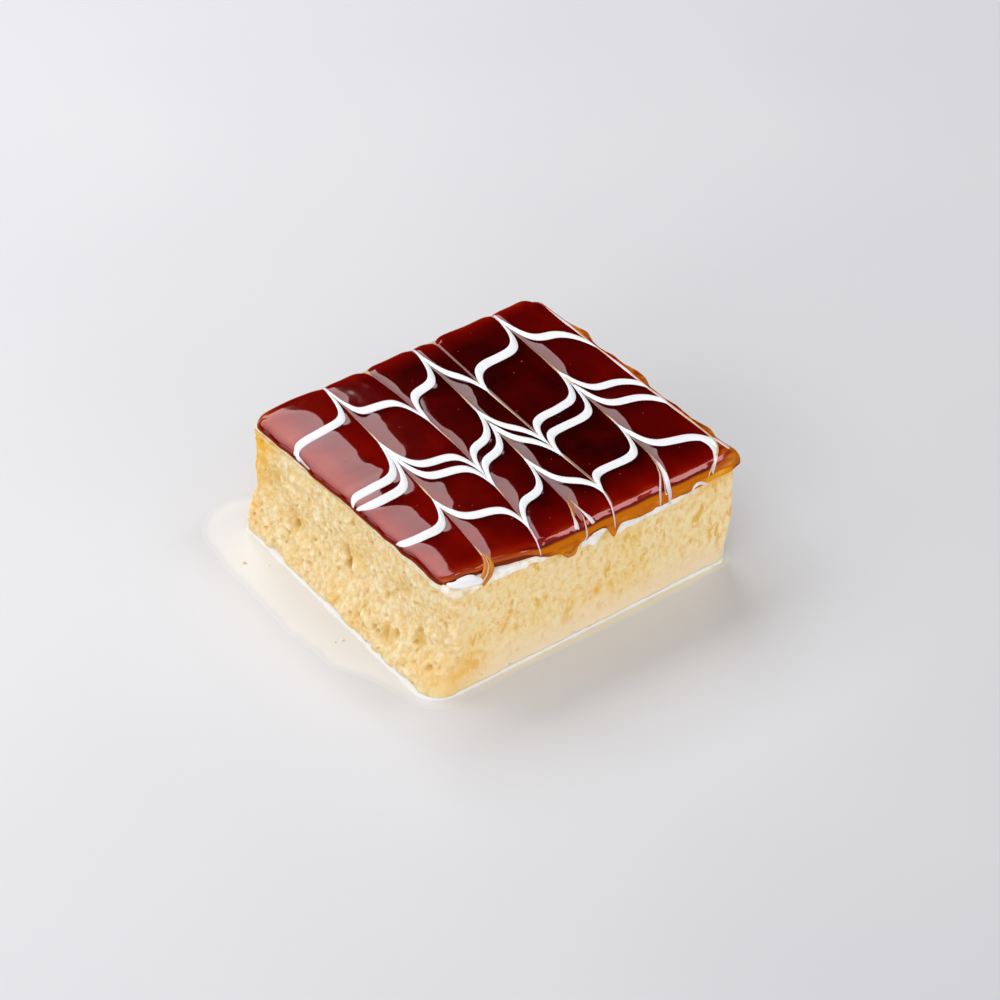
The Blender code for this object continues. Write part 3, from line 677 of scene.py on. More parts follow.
def line_pull(x, line, core):
    """How far a line is moved at x: way * pull * exp(-(away + core) / reach) for each drag, core being 0 on
    the side that leads the cusp and a little more on the side that follows."""
    away = np.abs(x[..., None] - DRAG_X) + core
    return (DRAG_WAY * LINE_PULLS[line] * np.exp(-away / LINE_REACHES[line])).sum(axis=-1)


def line_edges(x, line):
    """The back and front edges of a line at x: its level, plus and minus its half width, moved by the
    drags."""
    level = np.interp(x, PLACES[:-1], LINE_LEVELS[line])
    half = np.interp(x, HALF_PLACES, LINE_HALVES[line])
    upward = DRAG_WAY > 0
    back = level + half + line_pull(x, line, np.where(upward, 0, CORE))
    return back, level - half + line_pull(x, line, np.where(upward, CORE, 0))


def line_groove(x, y):
    """How far the glaze has sunk at a line of icing: from 0 at the line's back edge to 1 at its front edge,
    then exp(-away / 1.5 mm) in front of it, and all of it less where the line is steep."""
    near = np.zeros_like(x + y)
    for line in range(4):
        back, front = line_edges(x, line)
        ahead_back, ahead_front = line_edges(x + 0.1, line)
        level = 1 / np.sqrt(1 + ((ahead_back + ahead_front - back - front) / 0.2) ** 2)
        sunk = ease(back - y, 0, back - front) * np.exp(-np.maximum(front - y, 0) * level / 1.5)
        near = np.maximum(near, level * sunk)
    return near


def below_line(x, y, line):
    """0 behind a line of icing, 1 in front of it, and a smooth step between its two edges."""
    back, front = line_edges(x, line)
    return ease(back - y, 0, back - front)


def crest(drag, x, y):
    """How far right of its crease a drag's cushion is highest, blended from one cell to the next under the
    icing."""
    steps = [np.ones_like(x + y)] + [below_line(x, y, line) for line in range(4)] + [np.zeros_like(x + y)]
    width = SHARP_CREST
    for column, cell, knots in CRESTS:
        if column == drag:
            width = width + (steps[cell] - steps[cell + 1]) * (knotted(y, knots) - SHARP_CREST)
    return width * (1 + 0.05 * soft_noise(points_at(9.0 * drag, y), 2.4, 38))


def bend(away, softness):
    """0 below 0 and equal to its own value above it, with a soft bend: softness * log(1 + exp(away /
    softness))."""
    return softness * np.logaddexp(0, away / softness)


def glaze_height(x, y):
    """The glaze's top at a named x and a y: cushions that rise evenly from each crease to their crest, and
    fall to the next crease as (1 - away / reach)^2; the left side falling away; and the edges rolled over."""
    real = leaned(x, y)
    creases = DRAG_X + drag_shifts(y)[..., 1:-1]
    x, y, real = np.broadcast_arrays(x, y, real)
    creases = np.broadcast_to(creases, (*x.shape, len(DRAG_X)))
    from_left = real - GLAZE_LEFT
    left_crest = crest(0, x, y)
    fall = LEFT_SLOPE * bend(left_crest - from_left, 0.7) + LEFT_ROLL * np.exp(-from_left / 1.7)
    for drag, depth in enumerate(CREASE_DEPTHS, 1):
        away = real - creases[..., drag - 1]
        width = crest(drag, x, y)
        rising = bend(width - np.maximum(away, 0), 0.3) / bend(width, 0.3)
        if drag == 1:
            reach = np.maximum(creases[..., 0] - GLAZE_LEFT - left_crest, 3)
            falling = bend(1 + np.minimum(away, 0) / reach, 0.06) / bend(1, 0.06)
        else:
            falling = np.clip(1 + away / 3.6, 0, 1) ** 2
        fall = fall + depth * np.where(away > 0, rising, falling)
        fall = fall + NICK_DEPTH * np.exp(-np.abs(away) / NICK_WIDTH)
    inside_back = glaze_back(real) - y
    fall = fall + 0.27 * np.clip(1 - inside_back / 9, 0, 1) ** 2 + 0.12 * bend(2.9 - inside_back, 0.3)
    fall = fall + roll(inside_back, EDGE_ROLL) + LINE_SINK * line_groove(x, y)
    inside = y - glaze_front(real)
    rolled, bevelled = roll(inside, FRONT_ROLL), smoothed(front_bevel, inside, 0.12)
    fall = fall + rolled + (bevelled - rolled) * ease(real, -25, -16)
    fall = fall + roll(x - GLAZE_LEFT, EDGE_ROLL) + roll(GLAZE_RIGHT - x, EDGE_ROLL)
    plan = points_at(real, y)
    wander = layered(plan, (0.02, 9.0, 31), (0.008, 2.6, 33))
    ripple = 0.08 * soft_noise(plan * (0.7, 0.8, 1), 1.5, 34) + 0.08 * soft_noise(plan * (0.5, 1, 1), 3.0, 37)
    return GLAZE_TOP - fall + wander + ripple * bell(inside, 2.2, 1.3) * ease(real, -24, -18)


def round_corners(x, y):
    """Points in plan with the glaze's corners rounded: each moves in along its ray from the arc's centre."""
    for (side, end), radius in CORNER_RADII.items():
        corner_x = GLAZE_RIGHT if side > 0 else GLAZE_LEFT
        corner_y = glaze_front(corner_x) if end < 0 else glaze_back(corner_x)
        from_x, from_y = side * (x - corner_x) + radius, end * (y - corner_y) + radius
        inside = (from_x > 0) & (from_y > 0)
        away = np.maximum(np.hypot(from_x, from_y), 1e-9)
        shrink = np.where(inside, np.maximum(from_x, from_y) / away - 1, 0)
        x, y = x + side * from_x * shrink, y + end * from_y * shrink
    return x, y


def run_depth(x):
    """How far the caramel ran down the front at each place along it, with its drips and its ragged lower
    edge."""
    start, end = RUN_ENDS
    depth = 1.35 * ease(x, start, start + 7) * (1 - ease(x, end - 3, end))
    for place, width, length in RUN_DRIPS:
        depth = depth + length * bell(x, place, width)
    frayed_edge = 0.3 * soft_noise(points_at(x), 1.7, 32) * ease(x, -16, -8) * (1 - ease(x, 32, 38))
    return np.maximum(depth + frayed_edge, 0)


glaze_x = []
for low, high in zip(PLACES, PLACES[1:]):
    count = max(5, int((high - low) / GLAZE_STEP))
    share = np.arange(count) / count
    glaze_x.append(low + (high - low) * (share - 0.45 * np.sin(2 * np.pi * share) / (2 * np.pi)))
glaze_x = np.append(np.concatenate(glaze_x), GLAZE_RIGHT)
edge_rows = np.array([0.0, 0.15, 0.32, 0.5, 0.7, 0.95, 1.2, 1.4, 1.6, 1.8, 2.0, 2.25, 2.5, 2.75, 3.05, 3.4,
                      EDGE_STRIP])
middle_share = np.linspace(0, 1, MIDDLE_ROWS + 2)[1:-1, None]
column_front = glaze_front(leaned(glaze_x, NEAR_FRONT))
column_back = glaze_back(leaned(glaze_x, NEAR_BACK))
middle_rows = (column_front + EDGE_STRIP) * (1 - middle_share) + (column_back - EDGE_STRIP) * middle_share
glaze_y = np.vstack([column_front + edge_rows[:, None], middle_rows, column_back - edge_rows[::-1, None]])
named_x = np.broadcast_to(glaze_x, glaze_y.shape)
plan_x, plan_y = round_corners(leaned(named_x, glaze_y), glaze_y)
plan_x = plan_x + knotted(plan_y, RIGHT_EDGE) * ease(named_x, 48.7, GLAZE_RIGHT)
left_wave = 0.35 * soft_noise(points_at(0, plan_y), 4.2, 39) * (1 - ease(named_x - GLAZE_LEFT, 0, 2.5))
plan_x = plan_x + left_wave * ease(plan_y, -44, -38) * (1 - ease(plan_y, 38, 43))
glaze_grid = points_at(plan_x, plan_y, glaze_height(named_x, glaze_y))


def border(grid):
    """A grid's outer values, anticlockwise from its first."""
    return np.concatenate([grid[0, :-1], grid[:-1, -1], grid[-1, :0:-1], grid[:0:-1, 0]])


def skirt_out(down, depth):
    """How far the skirt stands out of the rim at a distance below it: 0.3 mm, with a bead at its end."""
    return 0.3 * (1 - np.exp(-down / 0.55)) + 0.2 * bell(down, depth - 0.55, 0.6) * ease(depth, 1.5, 3)


rim = border(glaze_grid)
rim_along = np.roll(rim, -1, axis=0) - np.roll(rim, 1, axis=0)
rim_out = np.column_stack([rim_along[:, 1], -rim_along[:, 0]])
rim_out /= np.linalg.norm(rim_out, axis=1)[:, None]
rim_front = facing(rim_out, 0, -1) ** 2
run_here = rim_front * run_depth(rim[:, 0])
skirt_end = np.minimum(GLAZE_BOTTOM - 0.2, rim[:, 2] - 0.35) - run_here
hang = 0.25 * (1 + soft_noise(rim * (1, 1, 0), 2.5, 35))
skirt_end -= hang * (facing(rim_out, 1, 0) + facing(rim_out, 0, 1))
# The skirt's rows, as shares of the way down from the rim to its end.
skirt_shares = np.array([0.04, 0.1, 0.18, 0.28, 0.4, 0.52, 0.64, 0.75, 0.85, 0.93, 0.98, 1.0])
skirt_depth = rim[:, 2] - skirt_end


def ring(out, z):
    """The rim moved outwards in plan, and set at a height."""
    return np.column_stack([rim[:, :2] + rim_out * np.reshape(out, (-1, 1)), z])


skirt = []
for share in skirt_shares:
    down = skirt_depth * share
    dent = 0.06 * soft_noise(points_at(rim[:, 0], rim[:, 1], down * 0.5), 2.2, 36) * rim_front
    skirt.append(ring(skirt_out(down, skirt_depth) + dent, rim[:, 2] - down))
skirt += [ring(out, skirt_end + up) for out, up in ((0.05, -0.08), (-0.45, 0.1), (-0.8, 0.5))]
skirt.append(ring(-1.0, np.minimum(GLAZE_BOTTOM, rim[:, 2] - 0.1)))

# How thick the caramel looks, from 0 for pale amber to 1 for nearly black: thin at the edges, deep in the
# middle, with a dark line just inside the front edge, and painted shade just in front of each line of icing.
inside_front, inside_back = glaze_y - glaze_front(plan_x), glaze_back(plan_x) - glaze_y
inside_left, inside_right = named_x - GLAZE_LEFT, GLAZE_RIGHT - named_x
front_tone = np.interp(inside_front, (0, 0.9, 1.2, 1.5, 1.75, 2.6, 5, 10, 20),
                       (0.2, 0.2, 0.5, 0.9, 0.55, 0.52, 0.64, 0.76, 0.95))
tone = np.minimum(front_tone, np.interp(inside_back, (0, 0.7, 1.6, 4, 10), (0.26, 0.40, 0.56, 0.70, 0.95)))
thin_front = (1 - ease(plan_x, -27, -17)) * (1 - ease(inside_front, 4, 9))
tone = tone + thin_front * (np.interp(inside_front, (0, 1, 3, 8), (0.26, 0.42, 0.52, 0.72)) - tone)
for inside, places, tones in (
    (inside_left, (0, 0.5, 1.2, 2.4, 5, 9, 14, 22), (0.62, 0.62, 0.5, 0.42, 0.5, 0.64, 0.74, 0.95)),
    (inside_right, (0, 0.8, 1.8, 2.6, 8), (0.12, 0.26, 0.36, 0.72, 1)),
    (plan_x, (-48, -30, -24, -12, -6, 2, 8, 24, 31, 37, 50),
     (0.64, 0.66, 0.74, 0.77, 0.86, 0.92, 1.0, 1.0, 0.92, 0.80, 0.74)),
):
    tone = np.minimum(tone, np.interp(inside, places, tones))
line_fronts = np.stack([line_edges(named_x, line)[1] for line in range(4)], axis=-1)
below = np.where(line_fronts > glaze_y[..., None], line_fronts - glaze_y[..., None], 99).min(axis=-1)
# Painted shade: the caramel is darker just in front of each line of icing, where its shadow would fall.
tone = tone + 0.20 * np.exp(-below / 2.8)
tone = tone + 0.25 * bell(inside_right, 0.9, 0.9) * soft_noise(points_at(plan_x, plan_y), 1.2, 42)
tone = tone + (0.34 - tone) * bell(np.hypot(plan_x + 47.0, plan_y - 45.6), 0, 3.2)
skirt_tone = []
for share in skirt_shares:
    mottle = 0.14 * soft_noise(points_at(rim[:, 0] * 0.8, skirt_depth * share, rim[:, 1]), 1.9, 41)
    lighter_end = np.interp(share, (0.8, 0.93, 1), (0, 0.05, 0.1))
    skirt_tone.append(0.2 + mottle + lighter_end - 0.15 * ease(rim[:, 0], 34, 41))
skirt_tone = np.array(skirt_tone + [0 * skirt_depth + 0.3] * (len(skirt) - len(skirt_shares)))
skirt_tone = skirt_tone + (0.52 - skirt_tone) * 0.9 * (1 - np.clip(run_here, 0, 1))

top_index = np.arange(glaze_y.size).reshape(glaze_y.shape)
skirt_index = glaze_y.size + np.arange(len(skirt) * len(rim)).reshape(len(skirt), -1)
rings = np.vstack([border(top_index), skirt_index])
top_faces = quads(top_index)
skirt_faces = quads(np.column_stack([rings, rings[:, 0]])[::-1])
glaze = shape("caramel_glaze_sheet", np.vstack([glaze_grid.reshape(-1, 3), *skirt]),
              np.vstack([top_faces, skirt_faces]).tolist() + [rings[-1, ::-1].tolist()],
              thick=np.concatenate([tone.ravel(), skirt_tone.ravel()]))

caramel = Finish("burnt_sugar_caramel", Roughness=0.06, Coat_Weight=1.0, Coat_Roughness=0.03, Coat_IOR=1.3,
                 IOR=1.36, Specular_Tint=(1.0, 0.2, 0.22, 1.0))
# How deep the caramel looks, together with the painted shade in front of the icing lines.
seen_depth = caramel.math("MULTIPLY_ADD", caramel.noise(120.0, 5.0), 0.30,
                          caramel.math("SUBTRACT", caramel.mark("thick"), 0.15))
caramel.paint(caramel.ramp(
    seen_depth, (0.0, (0.78, 0.36, 0.03)), (0.10, (0.60, 0.19, 0.004)), (0.26, (0.44, 0.09, 0.002)),
    (0.42, (0.30, 0.022, 0.0008)), (0.58, (0.19, 0.0025, 0.0005)), (0.78, (0.09, 0.0008, 0.0004)),
    (1.0, (0.024, 0.0004, 0.0003))))
caramel.bump(caramel.noise(700.0, 2.0), 0.00002, 0.3)
place_piece(glaze, caramel, "glaze")
# Below the rim the caramel is a thin amber skin, where it ran.
run_amber = Finish("run_amber", Roughness=0.12, Subsurface_Weight=0.15, Subsurface_Scale=0.002,
                   Specular_IOR_Level=0.06)
run_amber.paint(run_amber.ramp(
    run_amber.mark("thick"), (0.0, (0.85, 0.40, 0.02)), (0.12, (0.67, 0.205, 0.003)),
    (0.24, (0.49, 0.122, 0.002)), (0.42, (0.23, 0.028, 0.001)), (0.6, (0.13, 0.008, 0.0006))))
run_amber.bump(run_amber.noise(500.0, 3.0), 0.00006, 0.5)
glaze.data.materials.append(run_amber.material)
low_front = (inside_front < 1.3) & (plan_x > RUN_ENDS[0]) & (inside_right > 1.5)
in_run = np.ones(len(glaze.data.polygons), dtype=np.int32)
in_run[:len(top_faces)] = (low_front[1:, 1:] & low_front[:-1, :-1]).ravel()
glaze.data.polygons.foreach_set("material_index", in_run)

# ------------------------------------------------------------------------------------------------------------
# Icing lines. Four lines of white icing piped across the wet glaze before it was combed, so that each drag
# pulls them into a cusp. They lie almost flush in the caramel.
# ------------------------------------------------------------------------------------------------------------
# How far each line's left end bends towards the back, or the front where negative, as it meets the edge, and
# the share of its width that it loses there.
LINE_ENDS = [(-5.0, 0.5), (-2.6, 0.8), (1.9, 0.75), (1.0, 0.15)]
ICING_BACK = 46.9
ICING_UNDER = -0.25
ACROSS = np.array([-1, -0.93, -0.78, -0.52, -0.2, 0.2, 0.52, 0.78, 0.93, 1])


def on_glaze(x, y, lift):
    """The place on the glaze of a real x and a y, lifted by so much: past the front edge it goes over the rim
    and down the run, one millimetre for each."""
    front = glaze_front(x)
    down = np.maximum(front - y, 0)
    top_y = np.maximum(y, front)
    top = glaze_height(named(x, top_y), top_y)
    return points_at(x, top_y - skirt_out(down, 3.5) - lift * (down > 0), top - down + lift * (down <= 0))


def stations(low, high):
    """Named x along a line: close together at every drag, where it turns in a cusp, and half a millimetre
    apart."""
    steps = np.concatenate([[0, 0.03], 0.07 * 1.25 ** np.arange(14)])
    near = (DRAG_X[:, None] + np.concatenate([-steps, steps])).ravel()
    places = np.concatenate([near, np.arange(low, high, 0.45), [low, high]])
    return np.unique(np.round(places, 3).clip(low, high))


def laid(x, y, rise):
    """A flat bead's grid over the glaze: x and y hold its cross-sections, ten points in each, and it is domed
    by rise in the middle and closed underneath, a little down in the glaze."""
    dome = -0.05 + (rise[:, None] + 0.05) * np.sqrt(np.maximum(1 - ACROSS**2, 0)) ** 0.8
    upper = on_glaze(x, y, dome)
    under = on_glaze(x[:, [0, -1]], y[:, [0, -1]], ICING_UNDER)
    return np.concatenate([upper, under[:, ::-1]], axis=1)


icing = Finish("white_icing", Roughness=0.35, Coat_Weight=0.15, Coat_Roughness=0.12, Subsurface_Weight=0.3,
               Subsurface_Scale=0.001)
icing.paint(icing.mix(icing.noise(250.0, 4.0), (0.86, 0.835, 0.865), (0.92, 0.905, 0.93)))
icing.bump(icing.noise(500.0, 3.0), 0.00004, 0.5)
for line, (end_bend, taper) in enumerate(LINE_ENDS):
    x = stations(GLAZE_LEFT + 0.15, DRAG_X[-1] - 0.1)
    back, front = line_edges(x, line)
    end = np.exp(-(x - GLAZE_LEFT) / 1.4)
    wobble = 0.1 * soft_noise(points_at(x, line), 3.5, 40 + line)
    middle, half = (back + front) / 2 + end_bend * end + wobble, (back - front) / 2 * (1 - taper * end)
    y = np.minimum(middle[:, None] + half[:, None] * ACROSS, ICING_BACK + 0.15 * ACROSS)
    rise = np.minimum(0.27, 0.5 / np.sqrt(1 + np.gradient(middle, x) ** 2))
    bead = laid(leaned(x[:, None], y), y, rise)
    place_piece(surface(f"icing_line_{line + 1}", bead), icing, "glaze")

# ------------------------------------------------------------------------------------------------------------
# Combed hairlines. Each drag left a hairline of stretched icing and bare cream along its crease, white near
# the cusps and tan or brown between them, in a fine groove darkened by a brown ribbon of painted shade.
# ------------------------------------------------------------------------------------------------------------
# For each drag, from back to front: distance back, half width, and how much it has turned from white (0) to
# tan (1).
HAIRLINES = [
    [(46.3, 0.42, 0.12), (42, 0.4, 0.15), (38, 0.16, 0.7), (32, 0.14, 0.9), (22, 0.18, 0.7),
     (18, 0.26, 0.3), (12, 0.16, 0.4), (6, 0.18, 0.8), (0, 0.2, 0.9), (-5, 0.28, 0.8), (-9, 0.3, 0.4),
     (-13, 0.2, 0.5), (-18, 0.16, 0.9), (-28, 0.13, 1), (-35, 0.2, 0.8), (-40, 0.36, 0.55),
     (-43.6, 0.3, 0.6)],
    [(46.4, 1.3, 0.42), (45.0, 0.85, 0.42), (43.2, 0.3, 0.6), (41.5, 0.14, 1), (30, 0.12, 1),
     (22, 0.14, 0.9), (18, 0.2, 0.4), (12, 0.22, 0.2), (7, 0.18, 0.5), (0, 0.14, 0.9), (-6, 0.14, 0.9),
     (-12, 0.2, 0.4), (-17, 0.25, 0.2), (-21, 0.2, 0.4), (-26, 0.14, 0.8), (-34, 0.16, 0.7),
     (-38, 0.3, 0.3), (-43, 0.26, 0.2), (-46.6, 0.2, 0.15), (-48.4, 0.14, 0.25)],
    [(46.2, 0.38, 0.2), (41, 0.42, 0.15), (37, 0.2, 0.6), (30, 0.14, 0.95), (22, 0.16, 0.9),
     (16, 0.28, 0.4), (12, 0.36, 0.2), (7, 0.25, 0.7), (0, 0.24, 0.9), (-5, 0.2, 0.8), (-10, 0.22, 0.5),
     (-15, 0.26, 0.4), (-21, 0.18, 0.7), (-28, 0.14, 1), (-34, 0.2, 1), (-40, 0.25, 0.9)],
    [(46.0, 1.3, 0.42), (44.6, 0.8, 0.42), (43, 0.28, 0.6), (41, 0.12, 1), (31, 0.1, 0.9), (24, 0.13, 0.9),
     (19, 0.26, 0.5), (13, 0.32, 0.3), (7, 0.24, 0.5), (0, 0.2, 0.7), (-8, 0.24, 0.7), (-14, 0.32, 0.4),
     (-21, 0.28, 0.4), (-28, 0.2, 0.7), (-34, 0.2, 0.6), (-38, 0.34, 0.25), (-43, 0.28, 0.2),
     (-47.5, 0.22, 0.15), (-50.6, 0.15, 0.25)],
    [(44.6, 0.5, 0.2), (40, 0.5, 0.2), (37, 0.26, 0.75), (30, 0.16, 0.95), (20, 0.22, 0.8), (14, 0.34, 0.5),
     (10, 0.45, 0.4), (3, 0.34, 0.7), (-4, 0.26, 0.95), (-10, 0.22, 0.8), (-15, 0.32, 0.3),
     (-20, 0.36, 0.3), (-25, 0.24, 0.8), (-30, 0.2, 0.9)],
    [(38, 0.1, 0.5), (33, 0.3, 0.15), (28, 0.45, 0.08), (24, 0.3, 0.2), (18, 0.2, 0.5), (10, 0.22, 0.4),
     (6, 0.4, 0.15), (1, 0.5, 0.08), (-5, 0.32, 0.3), (-12, 0.34, 0.3), (-19, 0.44, 0.25), (-27, 0.4, 0.4),
     (-34, 0.28, 0.55), (-40, 0.34, 0.5), (-44, 0.36, 0.45), (-47.5, 0.25, 0.4), (-49, 0.12, 0.4)],
]


def hairline(name, x, y, half, finish, rise, slot, **marks):
    """A flat bead along a line of real x and y, this wide on either side of it, square to its way over the
    glaze."""
    along = np.column_stack([np.gradient(x), np.gradient(y)])
    side = np.column_stack([along[:, 1], -along[:, 0]]) / np.linalg.norm(along, axis=1)[:, None]
    across_x = x[:, None] + side[:, :1] * half[:, None] * ACROSS
    across_y = y[:, None] + side[:, 1:] * half[:, None] * ACROSS
    bead = laid(across_x, across_y, np.full(len(x), rise))
    marks = {mark: values[:, None] for mark, values in marks.items()}
    place_piece(surface(name, bead, **marks), finish, "glaze")


stretched = Finish("stretched_icing", Roughness=0.3, Coat_Weight=0.2, Coat_Roughness=0.06)
stretched.paint(stretched.ramp(
    stretched.mark("tan"), (0.0, (0.86, 0.83, 0.86)), (0.2, (0.66, 0.54, 0.57)), (0.42, (0.66, 0.46, 0.24)),
    (0.7, (0.34, 0.19, 0.10)), (1.0, (0.13, 0.05, 0.02))))
stretched.bump(stretched.noise(900.0, 2.0), 0.00002, 0.4)
# A dark brown finish: painted shade in the creases beside the hairlines.
groove = Finish("groove_brown", Roughness=0.2, Coat_Weight=0.8, Coat_Roughness=0.05)
groove.paint(groove.mix(groove.noise(300.0, 2.0), (0.030, 0.004, 0.002), (0.075, 0.012, 0.004)))
groove.bump(groove.noise(900.0, 2.0), 0.00002, 0.4)
for number, (drag_x, knots) in enumerate(zip(DRAG_X, HAIRLINES), 1):
    places, halves, tans = np.array(knots[::-1]).T
    y = np.arange(places[0], places[-1], 0.4)
    half, tan = np.interp(y, places, halves), np.interp(y, places, tans)
    half = half * (1 - 0.35 * ease(tan, 0.6, 1)) * np.sqrt(np.clip((y - y[0]) / 1.2, 0.01, 1))
    x = leaned(drag_x, y) + 0.12 * soft_noise(points_at(y, number), 5.0, 60 + number)
    # A dark ribbon just under and beside each hairline: painted shade in its crease.
    hairline(f"hairline_groove_{number}", x + 0.08, y, half + 0.14, groove, -0.02, "caramel_glaze")
    hairline(f"hairline_{number}", x, y, half, stretched, 0.06, "whipped_cream", tan=tan)

# ------------------------------------------------------------------------------------------------------------
# Trailing ends. Where the comb left the cake it dragged icing and thin caramel with it: streaks that fan out
# at the front edge and hang over it, strands that hook down the cream, a small wave at the right, and a spill
# at the corner.
# ------------------------------------------------------------------------------------------------------------
# Each streak: where it runs, across and back, with its half width and how tan it is. It hangs past the edge.
STREAKS = {
    "third_streak_left": [(0.0, -33.5, 0.1, 0.9), (-1.8, -38.5, 0.16, 0.6), (-3.4, -42, 0.26, 0.3),
        (-4.4, -44.4, 0.5, 0.1), (-5.2, -45.9, 0.7, 0.1), (-5.7, -46.8, 0.75, 0.2)],
    "third_streak_right": [(0.4, -34, 0.1, 0.9), (0.0, -38.5, 0.16, 0.5), (-0.3, -42, 0.3, 0.15),
        (-0.4, -44.5, 0.55, 0.08), (-0.3, -46.2, 0.72, 0.12), (-0.1, -47.3, 0.75, 0.2)],
    "third_streak_middle": [(-0.4, -41, 0.08, 0.9), (-1.6, -44.0, 0.14, 0.6), (-2.4, -46.0, 0.2, 0.3),
        (-3.4, -48.4, 0.22, 0.2), (-5.0, -50.0, 0.16, 0.25)],
    "fifth_streak_right": [(30.6, -29, 0.12, 0.9), (30.2, -34, 0.22, 0.5), (29.3, -38.5, 0.4, 0.15),
        (27.8, -43, 0.6, 0.05), (26.0, -46.5, 0.75, 0.1), (25.2, -48.6, 0.62, 0.2),
        (25.1, -50.2, 0.42, 0.22), (25.3, -51.8, 0.15, 0.25)],
    "fifth_streak_left": [(30.2, -32.5, 0.1, 0.9), (28.7, -38, 0.16, 0.5), (26.8, -42, 0.22, 0.3),
        (24.6, -44.9, 0.3, 0.2), (22.6, -47.3, 0.34, 0.2), (21.6, -48.9, 0.3, 0.3),
        (21.7, -51.0, 0.15, 0.4)],
    "fifth_streak_middle": [(29.6, -36, 0.08, 0.6), (28.0, -41, 0.13, 0.4), (26.0, -44.8, 0.16, 0.3),
        (24.0, -48, 0.16, 0.35)],
    "corner_thread": [(-47.1, 27.8, 0.5, 0.0), (-47.5, 25.0, 0.3, 0.1), (-47.8, 22.0, 0.2, 0.25),
        (-48.0, 17.0, 0.1, 0.5)],
    "last_tail": [(45.4, -35.6, 0.8, 0.0), (46.2, -38.5, 1.0, 0.0), (46.3, -40.6, 1.0, 0.0),
        (45.4, -43.2, 0.8, 0.05), (43.2, -46, 0.5, 0.1), (40.0, -48.6, 0.22, 0.2)],
    # A pink-lavender streak on the right front corner: a painted reflection.
    "corner_facet": [(47.9, -37.0, 0.2, 0.25), (48.8, -40.0, 0.55, 0.2), (49.3, -42.8, 0.7, 0.2),
        (49.1, -45.0, 0.45, 0.25)],
}


def steps_along(knots):
    """How far along a path each of its knots lies."""
    return np.concatenate([[0], np.linalg.norm(np.diff(knots, axis=0), axis=1).cumsum()])


def knotted_path(steps, along, knots):
    """The values of a path's knots read off at these distances along it, its corners eased."""
    return [knotted(steps, np.column_stack([along, values])) for values in knots.T]


for name, knots in STREAKS.items():
    knots = np.array(knots)
    along = steps_along(knots[:, :2])
    steps = np.arange(0, along[-1], 0.3)
    x, y, half, tan = knotted_path(steps, along, knots)
    half = half * np.sqrt(np.clip(np.minimum(steps / 1.2, (along[-1] - steps) / 0.4), 0.01, 1))
    hairline(name, x, y, half, stretched, 0.06, "whipped_cream", tan=tan)

amber = Finish("thin_caramel_amber", Roughness=0.12, Coat_Weight=0.35, Coat_Roughness=0.03, Coat_IOR=1.3,
               IOR=1.3, Subsurface_Weight=0.2, Subsurface_Scale=0.002)
amber.paint(amber.mix(amber.noise(400.0, 3.0), (0.42, 0.10, 0.003), (0.70, 0.27, 0.02)))
amber.bump(amber.noise(600.0, 2.0), 0.00003, 0.4)
